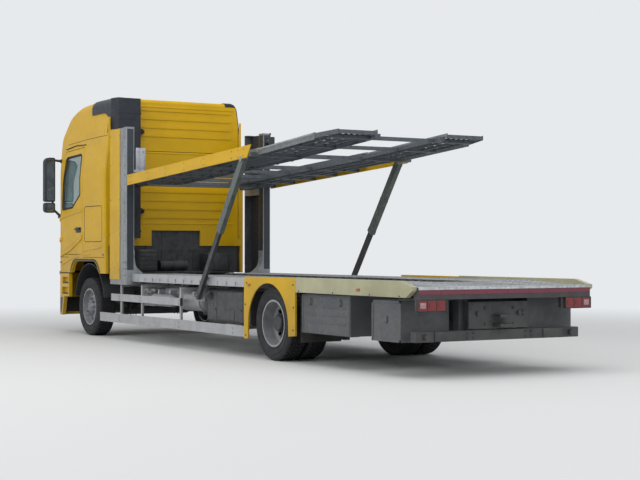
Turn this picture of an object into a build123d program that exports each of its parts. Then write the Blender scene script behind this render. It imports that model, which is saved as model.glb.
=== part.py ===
"""Car transporter truck: a two-axle lorry with a tall sleeper cab, a low loading deck and a tilting upper deck.

Millimetres. While it is modelled, X runs forward from the rear axle, Y to the left and Z up from the road.
Each piece is moved at the end so that the origin lies under the middle of the vehicle.
"""
import os
from math import atan2, cos, degrees, hypot, pi, radians, sin, tan

from build123d import *

# Main sizes of the vehicle
WHEELBASE = 6300
FRONT_OVERHANG = 1370
MIRROR_FRONT = 1440
REAR_OVERHANG = 3280
BODY_HALF_WIDTH = 1270
FIT = 0.3
GAP = 6

# Wheels and axles
TYRE_R = 475
TYRE_SHOULDER = 22
TYRE_WALL_R = 395
RIM_R = 292
RIM_WALL = 14
RIM_LIP = 10
LIP_THICK = 8
BEAD = 26
FRONT_TYRE_WIDTH = 295
REAR_TYRE_WIDTH = 270
TWIN_GAP = 42
WHEEL_OUTER_Y = BODY_HALF_WIDTH - 70
HUB_BORE_R = 45
KINGPIN_Y = WHEEL_OUTER_Y - 400
KINGPIN_R = 26
RUNNING_FIT = 0.05
HAND_HOLES = 8
HAND_HOLE_AT = 200
HAND_HOLE_R = 27
DISC = 14
AXLE_TUBE_R = 70

# Ladder frame and drive line
FRAME_HALF = 430
FRAME_LOW = 600
FRAME_TOP = 870
FRAME_WALL = 8
FRAME_FLANGE = 80
FRAME_FRONT_X = WHEELBASE + 900

# Cab, measured from the front axle
CAB_REAR = -830
CAB_HALF = BODY_HALF_WIDTH - 20
CAB_BOTTOM = 1030
CAB_TOP = 3880
CAB_WALL = 60
CAB_FLOOR = 1480
CAB_SHOULDER_Z = CAB_TOP - 1280
CAB_ROOF_HALF = CAB_HALF - 180
TUNNEL_HALF = 500
TUNNEL_TOP = 1790
CAB_CORNER_R = 150
CAB_PLAN_LAP = 1
GLASS = 12
GLASS_SET_BACK = 14
DOOR_SEAM = 9
ARCH_TOP = 1225

# Guide posts behind the cab
POST_BEHIND_CAB = 250
POST_LENGTH = 660
POST_FRONT_X = WHEELBASE + CAB_REAR - POST_BEHIND_CAB
POST_REAR_X = POST_FRONT_X - POST_LENGTH
POST_TOP = 3310
POST_LOW = 920
POST_DEPTH = 125
POST_WALL = 12
POST_RAIL = 150
COVER_LENGTH = 400
KNEE_REACH = 300
KNEE_TOP = 1010

# Lower deck
DECK_TOP = 1040
DECK_PLATE = 40
DECK_FRONT_X = POST_REAR_X - 20
DECK_KNEE_X = -2200
DECK_REAR_Z = 1005
TRACK_IN = FRAME_HALF
RAIL_OUT = BODY_HALF_WIDTH - 98
RAIL_LOW = 920
FENDER_FRONT_X = 640
FENDER_REAR_X = -710

# Struts
STRUT_Y = BODY_HALF_WIDTH - 48
FOOT_X = 2100
FOOT_Z = 760
EYE_X = 740

# Upper deck
PIN_X = POST_FRONT_X - 270
PIN_Z = 2470
PIN_R = 45
EYE_Z = PIN_Z + 140
BEAM_HEIGHT = 160
BEAM_PLATE = 8
BEAM_FRONT_X = POST_REAR_X - 30
BEAM_REAR_X = EYE_X - 290
UPPER_REAR_X = -1420
UPPER_SLOPE = radians(3.0)
TAIL_SLOPE = radians(4.2)
UPPER_TRACK_IN = 520
UPPER_TRACK_OUT = BODY_HALF_WIDTH - 105
SLEEVE_WIDE = 110
SLEEVE_THICK = 66
TUBE_WIDE = 80
TUBE_THICK = 46
SLEEVE_LENGTH = 1180
TUBE_IN_SLEEVE = 420

PARTS = {}


def piece(name, *shapes):
    """Keep a named piece; several shapes are fused where they touch."""
    body = shapes[0]
    for shape in shapes[1:]:
        body = body + shape
    PARTS[name] = body


def block(x0, x1, y0, y1, z0, z1):
    """A box from its lowest to its highest corner."""
    return Pos((x0 + x1) / 2, (y0 + y1) / 2, (z0 + z1) / 2) * Box(abs(x1 - x0), abs(y1 - y0), abs(z1 - z0))


def outline(points):
    """A closed face from rows of (across, up) or (across, up, corner radius)."""
    radii = [row[2] if len(row) > 2 else 0 for row in points]
    path = FilletPolyline(*[(row[0], row[1]) for row in points], radius=radii, close=True)
    return make_face(path)


def side_face(face, y0, y1):
    """Extrude a face drawn in side view, X across and Z up, from y0 to y1."""
    return extrude(Plane(origin=(0, y1, 0), x_dir=(1, 0, 0), z_dir=(0, -1, 0)) * face, amount=y1 - y0)


def front_face(face, x0, x1):
    """Extrude a face drawn in front view, Y across and Z up, from x0 to x1."""
    return extrude(Plane(origin=(x0, 0, 0), x_dir=(0, 1, 0), z_dir=(1, 0, 0)) * face, amount=x1 - x0)


def plan_face(face, z0, z1):
    """Extrude a face drawn in plan, X across and Y up, from z0 to z1."""
    return extrude(Plane.XY.offset(z0) * face, amount=z1 - z0)


def side_plate(points, y0, y1):
    return side_face(outline(points), y0, y1)


def mirrored(shape):
    """The same piece on the other side of the vehicle."""
    return mirror(shape, about=Plane.XZ)


def both(shape):
    """A piece of the left side with its like on the right."""
    return shape + mirrored(shape)


def rod(start, end, radius):
    """A round bar between two points."""
    a, b = Vector(*start), Vector(*end)
    return Plane(origin=a, z_dir=b - a) * extrude(Circle(radius), amount=(b - a).length)


def cross_rod(x, z, y0, y1, radius):
    return rod((x, y0, z), (x, y1, z), radius)


def turned(profile, x, z):
    """Revolve a profile of (along Y, radius) rows about the axle line at x, z."""
    face = Plane(origin=(0, 0, 0), x_dir=(0, 1, 0), z_dir=(1, 0, 0)) * outline(profile)
    return Pos(x, 0, z) * revolve(face, Axis.Y)


# Wheels
def tyre(x, y_out, width):
    """A tyre: walls that widen from the bead to their belly, then close in to bevelled shoulders."""
    y_in, bore, bevel = y_out - width, RIM_R + FIT, TYRE_SHOULDER
    profile = [(y_in + BEAD, bore), (y_out - BEAD, bore), (y_out, TYRE_WALL_R),
               (y_out - bevel / 2, TYRE_R - bevel),
               (y_out - 1.5 * bevel, TYRE_R), (y_in + 1.5 * bevel, TYRE_R),
               (y_in + bevel / 2, TYRE_R - bevel),
               (y_in, TYRE_WALL_R)]
    return turned(profile, x, TYRE_R)


# The bead's wall leans outward, so the rim's lip stands this far from the bead's root
LIP_OFF_BEAD = BEAD * (RIM_LIP + FIT) / (TYRE_WALL_R - RIM_R) + FIT


def rim(x, y_out, width, disc_y, lean, bore):
    """A steel rim: barrel with turned lips, and a dished disc pierced by hand holes."""
    y_in, y_lip = y_out - width + BEAD - LIP_OFF_BEAD, y_out - BEAD + LIP_OFF_BEAD
    barrel = turned([(y_in - LIP_THICK, RIM_R - RIM_WALL), (y_lip + LIP_THICK, RIM_R - RIM_WALL),
                     (y_lip + LIP_THICK, RIM_R + RIM_LIP), (y_lip, RIM_R + RIM_LIP), (y_lip, RIM_R),
                     (y_in, RIM_R),
                     (y_in, RIM_R + RIM_LIP), (y_in - LIP_THICK, RIM_R + RIM_LIP)], x, TYRE_R)
    edge = RIM_R - RIM_WALL + 4
    disc = turned([(disc_y, bore), (disc_y, 150), (disc_y + lean, 240), (disc_y + lean, edge),
                   (disc_y + lean - DISC, edge), (disc_y + lean - DISC, 236), (disc_y - DISC, 146),
                   (disc_y - DISC, bore)], x, TYRE_R)
    for index in range(HAND_HOLES):
        angle = 2 * pi * index / HAND_HOLES
        spot = (x + HAND_HOLE_AT * cos(angle), TYRE_R + HAND_HOLE_AT * sin(angle))
        disc -= cross_rod(*spot, disc_y - 130, disc_y + 90, HAND_HOLE_R)
    return barrel + disc


def front_wheel():
    y_in = WHEEL_OUTER_Y - FRONT_TYRE_WIDTH
    disc_y = WHEEL_OUTER_Y - 50
    hub = turned([(y_in + 40, HUB_BORE_R + RUNNING_FIT), (disc_y + 14, HUB_BORE_R + RUNNING_FIT),
                  (disc_y + 14, 0),
                  (disc_y + 34, 0), (disc_y + 34, 86), (disc_y + 24, 96), (disc_y, 130), (disc_y - 30, 130),
                  (disc_y - 30, 105),
                  (y_in + 60, 105), (y_in + 60, 190), (y_in + 40, 190)], WHEELBASE, TYRE_R)
    return rim(WHEELBASE, WHEEL_OUTER_Y, FRONT_TYRE_WIDTH, disc_y, -40, HUB_BORE_R + 20) + hub


def rear_wheels():
    """The twin rims on one hub; the outer disc is sunk and the hub end stands out of it."""
    outer = WHEEL_OUTER_Y
    inner = WHEEL_OUTER_Y - REAR_TYRE_WIDTH - TWIN_GAP
    disc_y = outer - REAR_TYRE_WIDTH - TWIN_GAP / 2 + 60
    hub = turned([(inner - REAR_TYRE_WIDTH + 60, AXLE_TUBE_R + RUNNING_FIT),
                  (disc_y + 130, AXLE_TUBE_R + RUNNING_FIT),
                  (disc_y + 130, 0), (disc_y + 165, 0), (disc_y + 165, 92), (disc_y + 155, 102),
                  (disc_y + 20, 128), (disc_y + 20, 170),
                  (disc_y - 34, 170), (disc_y - 34, 120), (inner - REAR_TYRE_WIDTH + 100, 120),
                  (inner - REAR_TYRE_WIDTH + 100, 200), (inner - REAR_TYRE_WIDTH + 60, 200)], 0, TYRE_R)
    bore = AXLE_TUBE_R + 20
    pair = rim(0, outer, REAR_TYRE_WIDTH, disc_y + 18, 40, bore) + rim(0, inner, REAR_TYRE_WIDTH,
                                                                       disc_y - 4, -110, bore)
    return pair + hub


front_tyre = tyre(WHEELBASE, WHEEL_OUTER_Y, FRONT_TYRE_WIDTH)
rear_tyres = (tyre(0, WHEEL_OUTER_Y, REAR_TYRE_WIDTH)
              + tyre(0, WHEEL_OUTER_Y - REAR_TYRE_WIDTH - TWIN_GAP, REAR_TYRE_WIDTH))
front_rim = front_wheel()
rear_rims = rear_wheels()
for side, place in (("left", lambda s: s), ("right", mirrored)):
    piece(f"front_tyre_{side}", place(front_tyre))
    piece(f"front_rim_{side}", place(front_rim))
    piece(f"rear_tyres_{side}", place(rear_tyres))
    piece(f"rear_rims_{side}", place(rear_rims))


# Front axle: dropped forged beam with leaf springs, and a steering knuckle on a king pin at each end
KNUCKLE_EAR = 34
BEAM_EYE_HALF = 60
BEAM_DROP = 90
SPRING_Y = 430
SPRING_HALF = 38
SPRING_REACH = 780
SPRING_PACK = 60


def front_axle():
    eye = plan_face(Circle(52), TYRE_R - BEAM_EYE_HALF, TYRE_R + BEAM_EYE_HALF)
    eye = Pos(WHEELBASE, KINGPIN_Y, 0) * eye
    bore = rod((WHEELBASE, KINGPIN_Y, 0), (WHEELBASE, KINGPIN_Y, 2 * TYRE_R), KINGPIN_R + RUNNING_FIT)
    low = TYRE_R - BEAM_DROP
    half = outline([(0, low - 50), (560, low - 50), (KINGPIN_Y - 60, TYRE_R - BEAM_EYE_HALF),
                    (KINGPIN_Y - 20, TYRE_R - BEAM_EYE_HALF), (KINGPIN_Y - 20, TYRE_R + BEAM_EYE_HALF),
                    (KINGPIN_Y - 60, TYRE_R + BEAM_EYE_HALF), (560, low + 50), (0, low + 50)])
    beam = front_face(half, WHEELBASE - 50, WHEELBASE + 50)
    seat = low + 50 + FIT
    reach, end_low, end_top = SPRING_REACH, FRAME_LOW - 90, FRAME_LOW - 50
    leaf = side_plate([(WHEELBASE - reach, end_low), (WHEELBASE - 100, seat), (WHEELBASE + 100, seat),
                       (WHEELBASE + reach, end_low), (WHEELBASE + reach, end_top),
                       (WHEELBASE + reach - 80, end_top),
                       (WHEELBASE + 100, seat + SPRING_PACK), (WHEELBASE - 100, seat + SPRING_PACK),
                       (WHEELBASE - reach + 80, end_top), (WHEELBASE - reach, end_top)],
                      SPRING_Y - SPRING_HALF, SPRING_Y + SPRING_HALF)
    body = both(beam + eye - bore) + both(leaf)
    for x in (WHEELBASE - reach + 40, WHEELBASE + reach - 40):
        body += both(block(x - 35, x + 35, SPRING_Y - SPRING_HALF, SPRING_Y + SPRING_HALF, end_top + FIT,
                           FRAME_LOW - FIT))
    return body


def knuckle():
    """Two ears and a king pin round the beam's eye, with the spindle that carries the hub."""
    ears = [Pos(WHEELBASE, KINGPIN_Y, 0) * plan_face(Circle(50), z0, z0 + KNUCKLE_EAR)
            for z0 in (TYRE_R - BEAM_EYE_HALF - KNUCKLE_EAR - FIT, TYRE_R + BEAM_EYE_HALF + FIT)]
    half = BEAM_EYE_HALF + KNUCKLE_EAR + FIT
    pin = rod((WHEELBASE, KINGPIN_Y, TYRE_R - half), (WHEELBASE, KINGPIN_Y, TYRE_R + half), KINGPIN_R)
    web = block(WHEELBASE - 48, WHEELBASE + 48, KINGPIN_Y + 58, KINGPIN_Y + 95, TYRE_R - half,
                TYRE_R + half)
    arms = [block(WHEELBASE - 40, WHEELBASE + 40, KINGPIN_Y, KINGPIN_Y + 80, z0, z0 + KNUCKLE_EAR)
            for z0 in (TYRE_R - BEAM_EYE_HALF - KNUCKLE_EAR - FIT, TYRE_R + BEAM_EYE_HALF + FIT)]
    spindle = cross_rod(WHEELBASE, TYRE_R, KINGPIN_Y + 90, WHEEL_OUTER_Y - 60, HUB_BORE_R)
    return ears[0] + ears[1] + pin + web + arms[0] + arms[1] + spindle


piece("front_axle", front_axle())
piece("knuckle_left", knuckle())
piece("knuckle_right", mirrored(knuckle()))


NOSE_X = 300
BELLOWS_LOW = 330
BELLOWS_R = 110
SHAFT_LOW_Z = 490
SHAFT_HIGH_Z = 590


# Rear axle: banjo housing with trailing arms and air springs under the frame
def rear_axle():
    tube_end = WHEEL_OUTER_Y - 130
    tube = cross_rod(0, TYRE_R, -tube_end, tube_end, AXLE_TUBE_R)
    bowl = turned([(-190, 0), (190, 0), (190, 90), (125, 190), (90, 215), (-90, 215), (-125, 190),
                   (-190, 90)], 0, TYRE_R)
    hanger_z = FRAME_LOW - FIT
    arm = side_plate([(-570, 270), (-380, 270), (0, TYRE_R - AXLE_TUBE_R - 30), (700, 500), (740, hanger_z),
                      (660, hanger_z), (620, 540), (60, TYRE_R + AXLE_TUBE_R + 20),
                      (-60, TYRE_R + AXLE_TUBE_R + 20),
                      (-100, 400), (-350, BELLOWS_LOW), (-570, BELLOWS_LOW)], FRAME_HALF - 40,
                     FRAME_HALF + 40)
    arm -= cross_rod(0, TYRE_R, FRAME_HALF - 50, FRAME_HALF + 50, AXLE_TUBE_R + FIT)
    bellows = Pos(-460, FRAME_HALF, 0) * plan_face(Circle(BELLOWS_R), BELLOWS_LOW + FIT, hanger_z)
    nose = rod((150, 0, SHAFT_LOW_Z), (NOSE_X, 0, SHAFT_LOW_Z), 75)
    return (tube + bowl + nose) + both(arm) + both(bellows)


piece("rear_axle", rear_axle())


# Ladder frame
def frame_member(x, half, low, top, width=80):
    return block(x - width / 2, x + width / 2, -half, half, low, top)


CAB_MOUNTS_X = (WHEELBASE - 750, WHEELBASE + 750)
MOUNT_WIDTH = 90
CAB_BEAM_HEIGHT = 80
GEARBOX_REAR_X = WHEELBASE - 1500


def spaced(first, last, count):
    """Evenly spaced places from the first to the last."""
    return [first + (last - first) * index / (count - 1) for index in range(count)]


CROSSMEMBERS_X = (-2900, -1900, -900, *spaced(900, GEARBOX_REAR_X - 300, 4), FRAME_FRONT_X - 120)


def chassis_frame():
    x0, x1 = -REAR_OVERHANG + 180, FRAME_FRONT_X
    y0 = FRAME_HALF
    rail = front_face(outline([(y0, FRAME_LOW), (y0, FRAME_TOP), (y0 - FRAME_FLANGE, FRAME_TOP),
                               (y0 - FRAME_FLANGE, FRAME_TOP - FRAME_WALL),
                               (y0 - FRAME_WALL, FRAME_TOP - FRAME_WALL),
                               (y0 - FRAME_WALL, FRAME_LOW + FRAME_WALL),
                               (y0 - FRAME_FLANGE, FRAME_LOW + FRAME_WALL),
                               (y0 - FRAME_FLANGE, FRAME_LOW)]), x0, x1)
    frame = both(rail)
    for x in CROSSMEMBERS_X:
        frame += frame_member(x, FRAME_HALF - FRAME_WALL - FIT, FRAME_LOW + 60, FRAME_TOP - 60)
    return frame + cab_mounts()


def cab_mounts():
    """Brackets that carry the cab floor at both sides of the tunnel, the rear pair joined by a cross beam."""
    y0, y1 = TUNNEL_HALF - 50, TUNNEL_HALF + 30
    seat = CAB_FLOOR - FIT
    rear_x, front_x = CAB_MOUNTS_X
    half = MOUNT_WIDTH / 2
    mounts = block(rear_x - half, rear_x + half, -y1, y1, seat - CAB_BEAM_HEIGHT, seat)
    for x, top in ((rear_x, seat - CAB_BEAM_HEIGHT - FIT), (front_x, seat)):
        mounts += both(block(x - half, x + half, y0, y1, FRAME_TOP + FIT, top)
                       + block(x - half, x + half, FRAME_HALF - 60, y0, FRAME_TOP + FIT, FRAME_TOP + 25))
    return mounts


piece("chassis_frame", chassis_frame())

engine = block(WHEELBASE - 450, WHEELBASE + 700, -330, 330, 640, 1560)
gearbox = block(GEARBOX_REAR_X, WHEELBASE - 450 - FIT, -260, 260, 500, 850)
engine_mounts = both(block(WHEELBASE - 200, WHEELBASE - 100, 330 + FIT, FRAME_HALF - FRAME_WALL - FIT, 700,
                           780))
piece("engine", engine + gearbox + engine_mounts)
piece("drive_shaft", rod((NOSE_X + 1.5, 0, SHAFT_LOW_Z), (GEARBOX_REAR_X - 1.5, 0, SHAFT_HIGH_Z), 48))


# Tanks and boxes between the axles
# Air cylinders; columns: ends along X, set in from the body side, height, radius
AIR_CYLINDERS = ((2330, 3000, 310, 680, 150), (3150, 3800, 370, 760, 110), (3150, 3800, 160, 660, 90))
AIR_CARRIERS_X = (2500, 3300, 3700, 4100)
AIR_CARRIER_OUT = BODY_HALF_WIDTH - 160
VALVE_X = (3900, 4300)
VALVE_Y = (BODY_HALF_WIDTH - 570, BODY_HALF_WIDTH - 190)
VALVE_Z = (560, 820)


def hung_box(x0, x1, y0, y1, z0, z1, corner):
    """A tank with rounded long edges."""
    shape = front_face(outline([(y0, z0, corner), (y1, z0, corner), (y1, z1, corner), (y0, z1, corner)]),
                       x0, x1)
    return shape


TANK_IN = 520
TANK_X = (690, 1960)
TANK_OUT = BODY_HALF_WIDTH - 120
TANK_LOW = 400
tank = hung_box(*TANK_X, TANK_IN, TANK_OUT, TANK_LOW, FRAME_TOP - 10, 60)
tank_bracket = block(900, 960, FRAME_HALF + FIT, TANK_IN - FIT, 640, 790)
piece("fuel_tanks", both(tank) + both(tank_bracket) + both(Pos(800, 0, 0) * tank_bracket))


def air_tanks():
    """Silver air cylinders lying along the frame on flat carriers, and the valve block in front of them."""
    body = both(block(*VALVE_X, *VALVE_Y, *VALVE_Z))
    room = block(VALVE_X[0] - FIT, VALVE_X[1] + FIT, VALVE_Y[0] - FIT, VALVE_Y[1] + FIT, VALVE_Z[0] - FIT,
                 VALVE_Z[1] + FIT)
    for x0, x1, set_in, z, radius in AIR_CYLINDERS:
        y = BODY_HALF_WIDTH - set_in
        body += both(rod((x0, y, z), (x1, y, z), radius))
        room += rod((x0 - FIT, y, z), (x1 + FIT, y, z), radius + FIT)
    for x in AIR_CARRIERS_X:
        body += both(block(x - 25, x + 25, FRAME_HALF + FIT, AIR_CARRIER_OUT, 735, 815) - room)
    return body


piece("air_tanks", air_tanks())

GUARD_LOW_Z = (270, 410)
GUARD_HIGH_Z = (610, 720)
GUARD_Y = (BODY_HALF_WIDTH - 48, BODY_HALF_WIDTH - 20)
GUARD_POST = 30
GUARD_HIGH_X = (2640, POST_FRONT_X)
GUARD_TALL_X = (POST_FRONT_X - 340, POST_FRONT_X - 1140, 2700)
GUARD_SHORT_X = 1000
GUARD_ARM = 35
GUARD_LOW_ARM_Z = (350, 398)


def side_guards():
    """Two bars a side, bolted on posts that hang from arms on the frame."""
    y0, y1 = GUARD_Y
    post_in = y0 - GUARD_POST
    low = both(block(FENDER_FRONT_X + GAP, WHEELBASE - 610, y0, y1, *GUARD_LOW_Z))
    body = low + both(block(*GUARD_HIGH_X, y0, y1, *GUARD_HIGH_Z))
    for x in (*GUARD_TALL_X, GUARD_SHORT_X):
        tall = x != GUARD_SHORT_X
        arm_z = (FRAME_TOP - GUARD_ARM, FRAME_TOP) if tall else GUARD_LOW_ARM_Z
        post_top = arm_z[1] if tall else GUARD_LOW_Z[1]
        body += both(block(x - 22, x + 22, post_in, y0 - FIT, GUARD_LOW_Z[0], post_top))
        body += both(block(x - 22, x + 22, FRAME_HALF + FIT, post_in - FIT, *arm_z))
        if not tall:
            body += both(block(x - 22, x + 22, FRAME_HALF + FIT, FRAME_HALF + 40, arm_z[1] + FIT,
                               FRAME_LOW + 40))
    return body


piece("side_guards", side_guards())


# Cab
# Side view of the nose from the front overhang back, and down from the roof; columns: set back, drop, radius
NOSE_ROWS = [(80, 780, 0), (70, 550, 240), (360, 220, 420), (810, 60, 800), (1310, 0, 900)]
NOSE_LOW_Z = 1500
NOSE_SILL_Z = 2050
NOSE_SWEEP = 900
CAB_SKIRT = 400
SIDE_SWEEP = 1500
SIDE_LEAN = 65
SIDE_LEAN_DROP = 730
ROOF_EDGE_R = 170


def cab_side(inset):
    """Side view of the cab: upright front, lightly raked screen and a high roof that bulges forward."""
    rear, front = WHEELBASE + CAB_REAR, WHEELBASE + FRONT_OVERHANG
    low = CAB_BOTTOM - CAB_SKIRT
    points = [(rear, low), (front - 20, low), (front - 20, NOSE_LOW_Z, NOSE_SWEEP),
              (front - 30, NOSE_SILL_Z, NOSE_SWEEP)]
    points += [(front - back, CAB_TOP - drop, radius) for back, drop, radius in NOSE_ROWS]
    points += [(rear, CAB_TOP - 15, 60)]
    return offset(outline(points), -inset, kind=Kind.INTERSECTION) if inset else outline(points)


def cab_front(inset):
    """Front view of the cab: upright sides that lean in above the shoulder, rounded roof edges."""
    h, r, low, lean_z = CAB_HALF, CAB_ROOF_HALF, CAB_BOTTOM - CAB_SKIRT, CAB_TOP - SIDE_LEAN_DROP
    points = [(-h, low), (h, low), (h, CAB_SHOULDER_Z, SIDE_SWEEP), (h - SIDE_LEAN, lean_z, SIDE_SWEEP),
              (r + 20, CAB_TOP, ROOF_EDGE_R), (-r - 20, CAB_TOP, ROOF_EDGE_R),
              (SIDE_LEAN - h, lean_z, SIDE_SWEEP),
              (-h, CAB_SHOULDER_Z, SIDE_SWEEP)]
    return offset(outline(points), -inset, kind=Kind.INTERSECTION) if inset else outline(points)


def cab_plan(inset):
    """Plan of the cab: square rear corners, rounded front corners and a lightly crowned front.

    It is drawn a little wider than the front view, which cuts the flat sides.
    """
    x0, x1 = WHEELBASE + CAB_REAR + inset, WHEELBASE + FRONT_OVERHANG - 20 - inset
    h = CAB_HALF + CAB_PLAN_LAP - inset
    return outline([(x0, -h, 30), (x1 - 45, -h, CAB_CORNER_R), (x1, 0, 3000), (x1 - 45, h, CAB_CORNER_R),
                    (x0, h, 30)])


def cab_solid(inset):
    h = CAB_HALF + 100
    side = side_face(cab_side(inset), -h, h)
    front = front_face(cab_front(inset), WHEELBASE + CAB_REAR - 100, WHEELBASE + FRONT_OVERHANG + 100)
    plan = plan_face(cab_plan(inset), 0, CAB_TOP + 100)
    return side & front & plan


CAB_OUTER = cab_solid(0)
CAB_INNER = cab_solid(CAB_WALL)
CAB_SKIN = CAB_OUTER - CAB_INNER
GLASS_SKIN = cab_solid(GLASS_SET_BACK) - cab_solid(GLASS_SET_BACK + GLASS)

# Door outline and its window, in side view from the front axle: across, up, corner radius
DOOR_HEAD_Z = CAB_TOP - 750
DOOR_ROWS = [(150, 1330, 60), (1130, 1330, 120), (1200, 2050, 60), (1100, DOOR_HEAD_Z - 40, 80),
             (190, DOOR_HEAD_Z, 60)]
DOOR_WINDOW_ROWS = [(265, 2330, 70), (620, 2120, 80), (1110, 2090, 60), (1020, DOOR_HEAD_Z - 140, 70),
                    (300, DOOR_HEAD_Z - 110, 70)]


def cab_rows(rows):
    return [(WHEELBASE + row[0], *row[1:]) for row in rows]


def door_prism(rows, shrink):
    face = outline(cab_rows(rows))
    if shrink:
        face = offset(face, -shrink, kind=Kind.INTERSECTION)
    return side_face(face, CAB_HALF - 400, CAB_HALF + 200)


# Door hinges: the shell's barrel below, the door's above it, on a pin whose line stands just outside the panel
HINGE_OFF = 1200
HINGE_X = WHEELBASE + HINGE_OFF
HINGE_Y = CAB_HALF + 2
HINGE_LOW = (1540, 1900)
HINGE_BARREL = 40
HINGE_R = 10
HINGE_PIN_R = 5
HINGE_STRAP = 100


def hinge_rod(low, high, radius):
    return rod((HINGE_X, HINGE_Y, low), (HINGE_X, HINGE_Y, high), radius)


def hinge_pocket(low):
    return hinge_rod(low + HINGE_BARREL - 1, low + 2 * HINGE_BARREL + 2, HINGE_R + 3)


def shell_hinge(low):
    top = low + HINGE_BARREL
    return hinge_rod(low, top, HINGE_R + 1) + hinge_rod(low + 5, top + HINGE_BARREL, HINGE_PIN_R)


def door_hinge(low):
    """A strap over the seam, rooted in the door, that ends in a barrel on the shell's pin."""
    z0, z1 = low + HINGE_BARREL + FIT, low + 2 * HINGE_BARREL
    strap = block(HINGE_X - HINGE_STRAP, HINGE_X, CAB_HALF + 2 * FIT, HINGE_Y + HINGE_R, z0, z1)
    root = block(HINGE_X - HINGE_STRAP, HINGE_X - HINGE_STRAP + 25, CAB_HALF - 15, CAB_HALF + 5, z0, z1)
    return strap + root + hinge_rod(z0, z1, HINGE_R) - hinge_rod(z0 - 5, z1 + 5, HINGE_PIN_R + RUNNING_FIT)


def cab_door():
    door = (CAB_SKIN & door_prism(DOOR_ROWS, DOOR_SEAM)) - door_prism(DOOR_WINDOW_ROWS, 0)
    for low in HINGE_LOW:
        door += door_hinge(low)
    return door


def door_glass():
    return GLASS_SKIN & door_prism(DOOR_WINDOW_ROWS, FIT)


SCREEN_LOW = 2090
SCREEN_HIGH = CAB_TOP - 800
SCREEN_HALF_LOW = CAB_HALF - 120
SCREEN_HALF_HIGH = CAB_HALF - 190


def screen_prism(shrink):
    face = outline([(-SCREEN_HALF_LOW, SCREEN_LOW, 90), (SCREEN_HALF_LOW, SCREEN_LOW, 90),
                    (SCREEN_HALF_HIGH, SCREEN_HIGH, 110), (-SCREEN_HALF_HIGH, SCREEN_HIGH, 110)])
    if shrink:
        face = offset(face, -shrink, kind=Kind.INTERSECTION)
    return front_face(face, WHEELBASE + 800, WHEELBASE + 1600)


BUMPER_TOP = 1010
BUMPER_LOW = 300
BUMPER_REAR = 780
BUMPER_DEPTH = 100


# Raised ribs pressed in the rear wall, in two fields
RIB_RIGHT = -1000
RIB_LEFT = 640
RIB_HEIGHT = 46
RIB_PROUD = 10
RIBS_LOW_Z = 1930
GRILLE_HALF = 800
GRILLE_LOW = 1080
GRILLE_HIGH = 1720
GRILLE_SLATS = 6


def cab_shell():
    """Hollow cab: side walls, roof, floor with the engine tunnel, and raised ribs on the rear wall."""
    w, t, wide = WHEELBASE, CAB_WALL, CAB_HALF + 150
    rear_x = w + CAB_REAR
    skin = CAB_SKIN - block(rear_x - 50, w + 1700, -wide, wide, 0, CAB_BOTTOM)
    skin -= block(rear_x - 10, rear_x + t + 10, -(CAB_HALF - t), CAB_HALF - t, 0, CAB_FLOOR)
    slab = CAB_INNER & block(rear_x, w + 1500, -wide, wide, CAB_FLOOR, CAB_FLOOR + t)
    tunnel = CAB_INNER & block(rear_x, w + 1500, -TUNNEL_HALF, TUNNEL_HALF, CAB_FLOOR, TUNNEL_TOP)
    hollow = block(rear_x - 20, w + 1600, -(TUNNEL_HALF - t), TUNNEL_HALF - t, CAB_FLOOR - 5,
                   TUNNEL_TOP - t)
    shell = skin + slab + tunnel - hollow
    shell -= side_plate([(w - 600, 0), (w + 700, 0), (w + 700, 1000), (w + 560, ARCH_TOP, 220),
                         (w - 420, ARCH_TOP, 260),
                         (w - 600, 1000, 60)], -CAB_HALF - 50, CAB_HALF + 50)
    doorway = door_prism(DOOR_ROWS, 0)
    shell -= doorway
    shell -= mirrored(doorway)
    shell -= screen_prism(0)
    for low in HINGE_LOW:
        for place in (lambda s: s, mirrored):
            shell = shell - place(hinge_pocket(low)) + place(shell_hinge(low))
    for z in (*spaced(RIBS_LOW_Z, RIBS_LOW_Z + 420, 4), *spaced(CAB_TOP - 620, CAB_TOP - 200, 4)):
        rib = front_face(outline([(RIB_RIGHT, z, 20), (RIB_LEFT, z, 20), (RIB_LEFT, z + RIB_HEIGHT, 20),
                                  (RIB_RIGHT, z + RIB_HEIGHT, 20)]), rear_x - RIB_PROUD, rear_x + 5)
        shell += rib
    grille_hole = block(w + 1200, w + 1500, -GRILLE_HALF, GRILLE_HALF, GRILLE_LOW, GRILLE_HIGH)
    return shell - grille_hole


piece("cab_shell", cab_shell())
piece("windscreen", GLASS_SKIN & screen_prism(FIT))


def grille():
    """A black frame with flat slats, standing in its hole in the front panel."""
    x1 = WHEELBASE + FRONT_OVERHANG - 60
    x0 = x1 - 50
    half, low, high = GRILLE_HALF - FIT, GRILLE_LOW + FIT, GRILLE_HIGH - FIT
    frame = block(x0, x1, -half, half, low, high) - block(x0 - 5, x1 + 5, 50 - half, half - 50, low + 40,
                                                          high - 40)
    pitch = (high - low - 80) / (GRILLE_SLATS + 1)
    for index in range(GRILLE_SLATS):
        z = low + 40 + pitch * (index + 1)
        frame += block(x0 + 5, x1 - 5, -half + 40, half - 40, z - 12, z + 12)
    return frame


piece("grille", grille())

LAMP_Z = (760, 960)
LAMP_Y = (CAB_HALF - 460, CAB_HALF - 100)


def bumper_plan(inset, rear_x):
    """Plan of the bumper's front, crowned, with rounded corners, drawn in from the outer face."""
    x1, h = WHEELBASE + FRONT_OVERHANG - inset, CAB_HALF - 0.6 * inset
    return outline([(rear_x, -h), (x1 - 50, -h, CAB_CORNER_R), (x1, 0, 3200), (x1 - 50, h, CAB_CORNER_R),
                    (rear_x, h)])


# Entry steps let into the bumper's sides; columns: ends from the front axle, low and high
STEP_ROWS = ((800, 1090, 840, 950), (820, 1110, 660, 780))
STEP_DEPTH = 45


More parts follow.
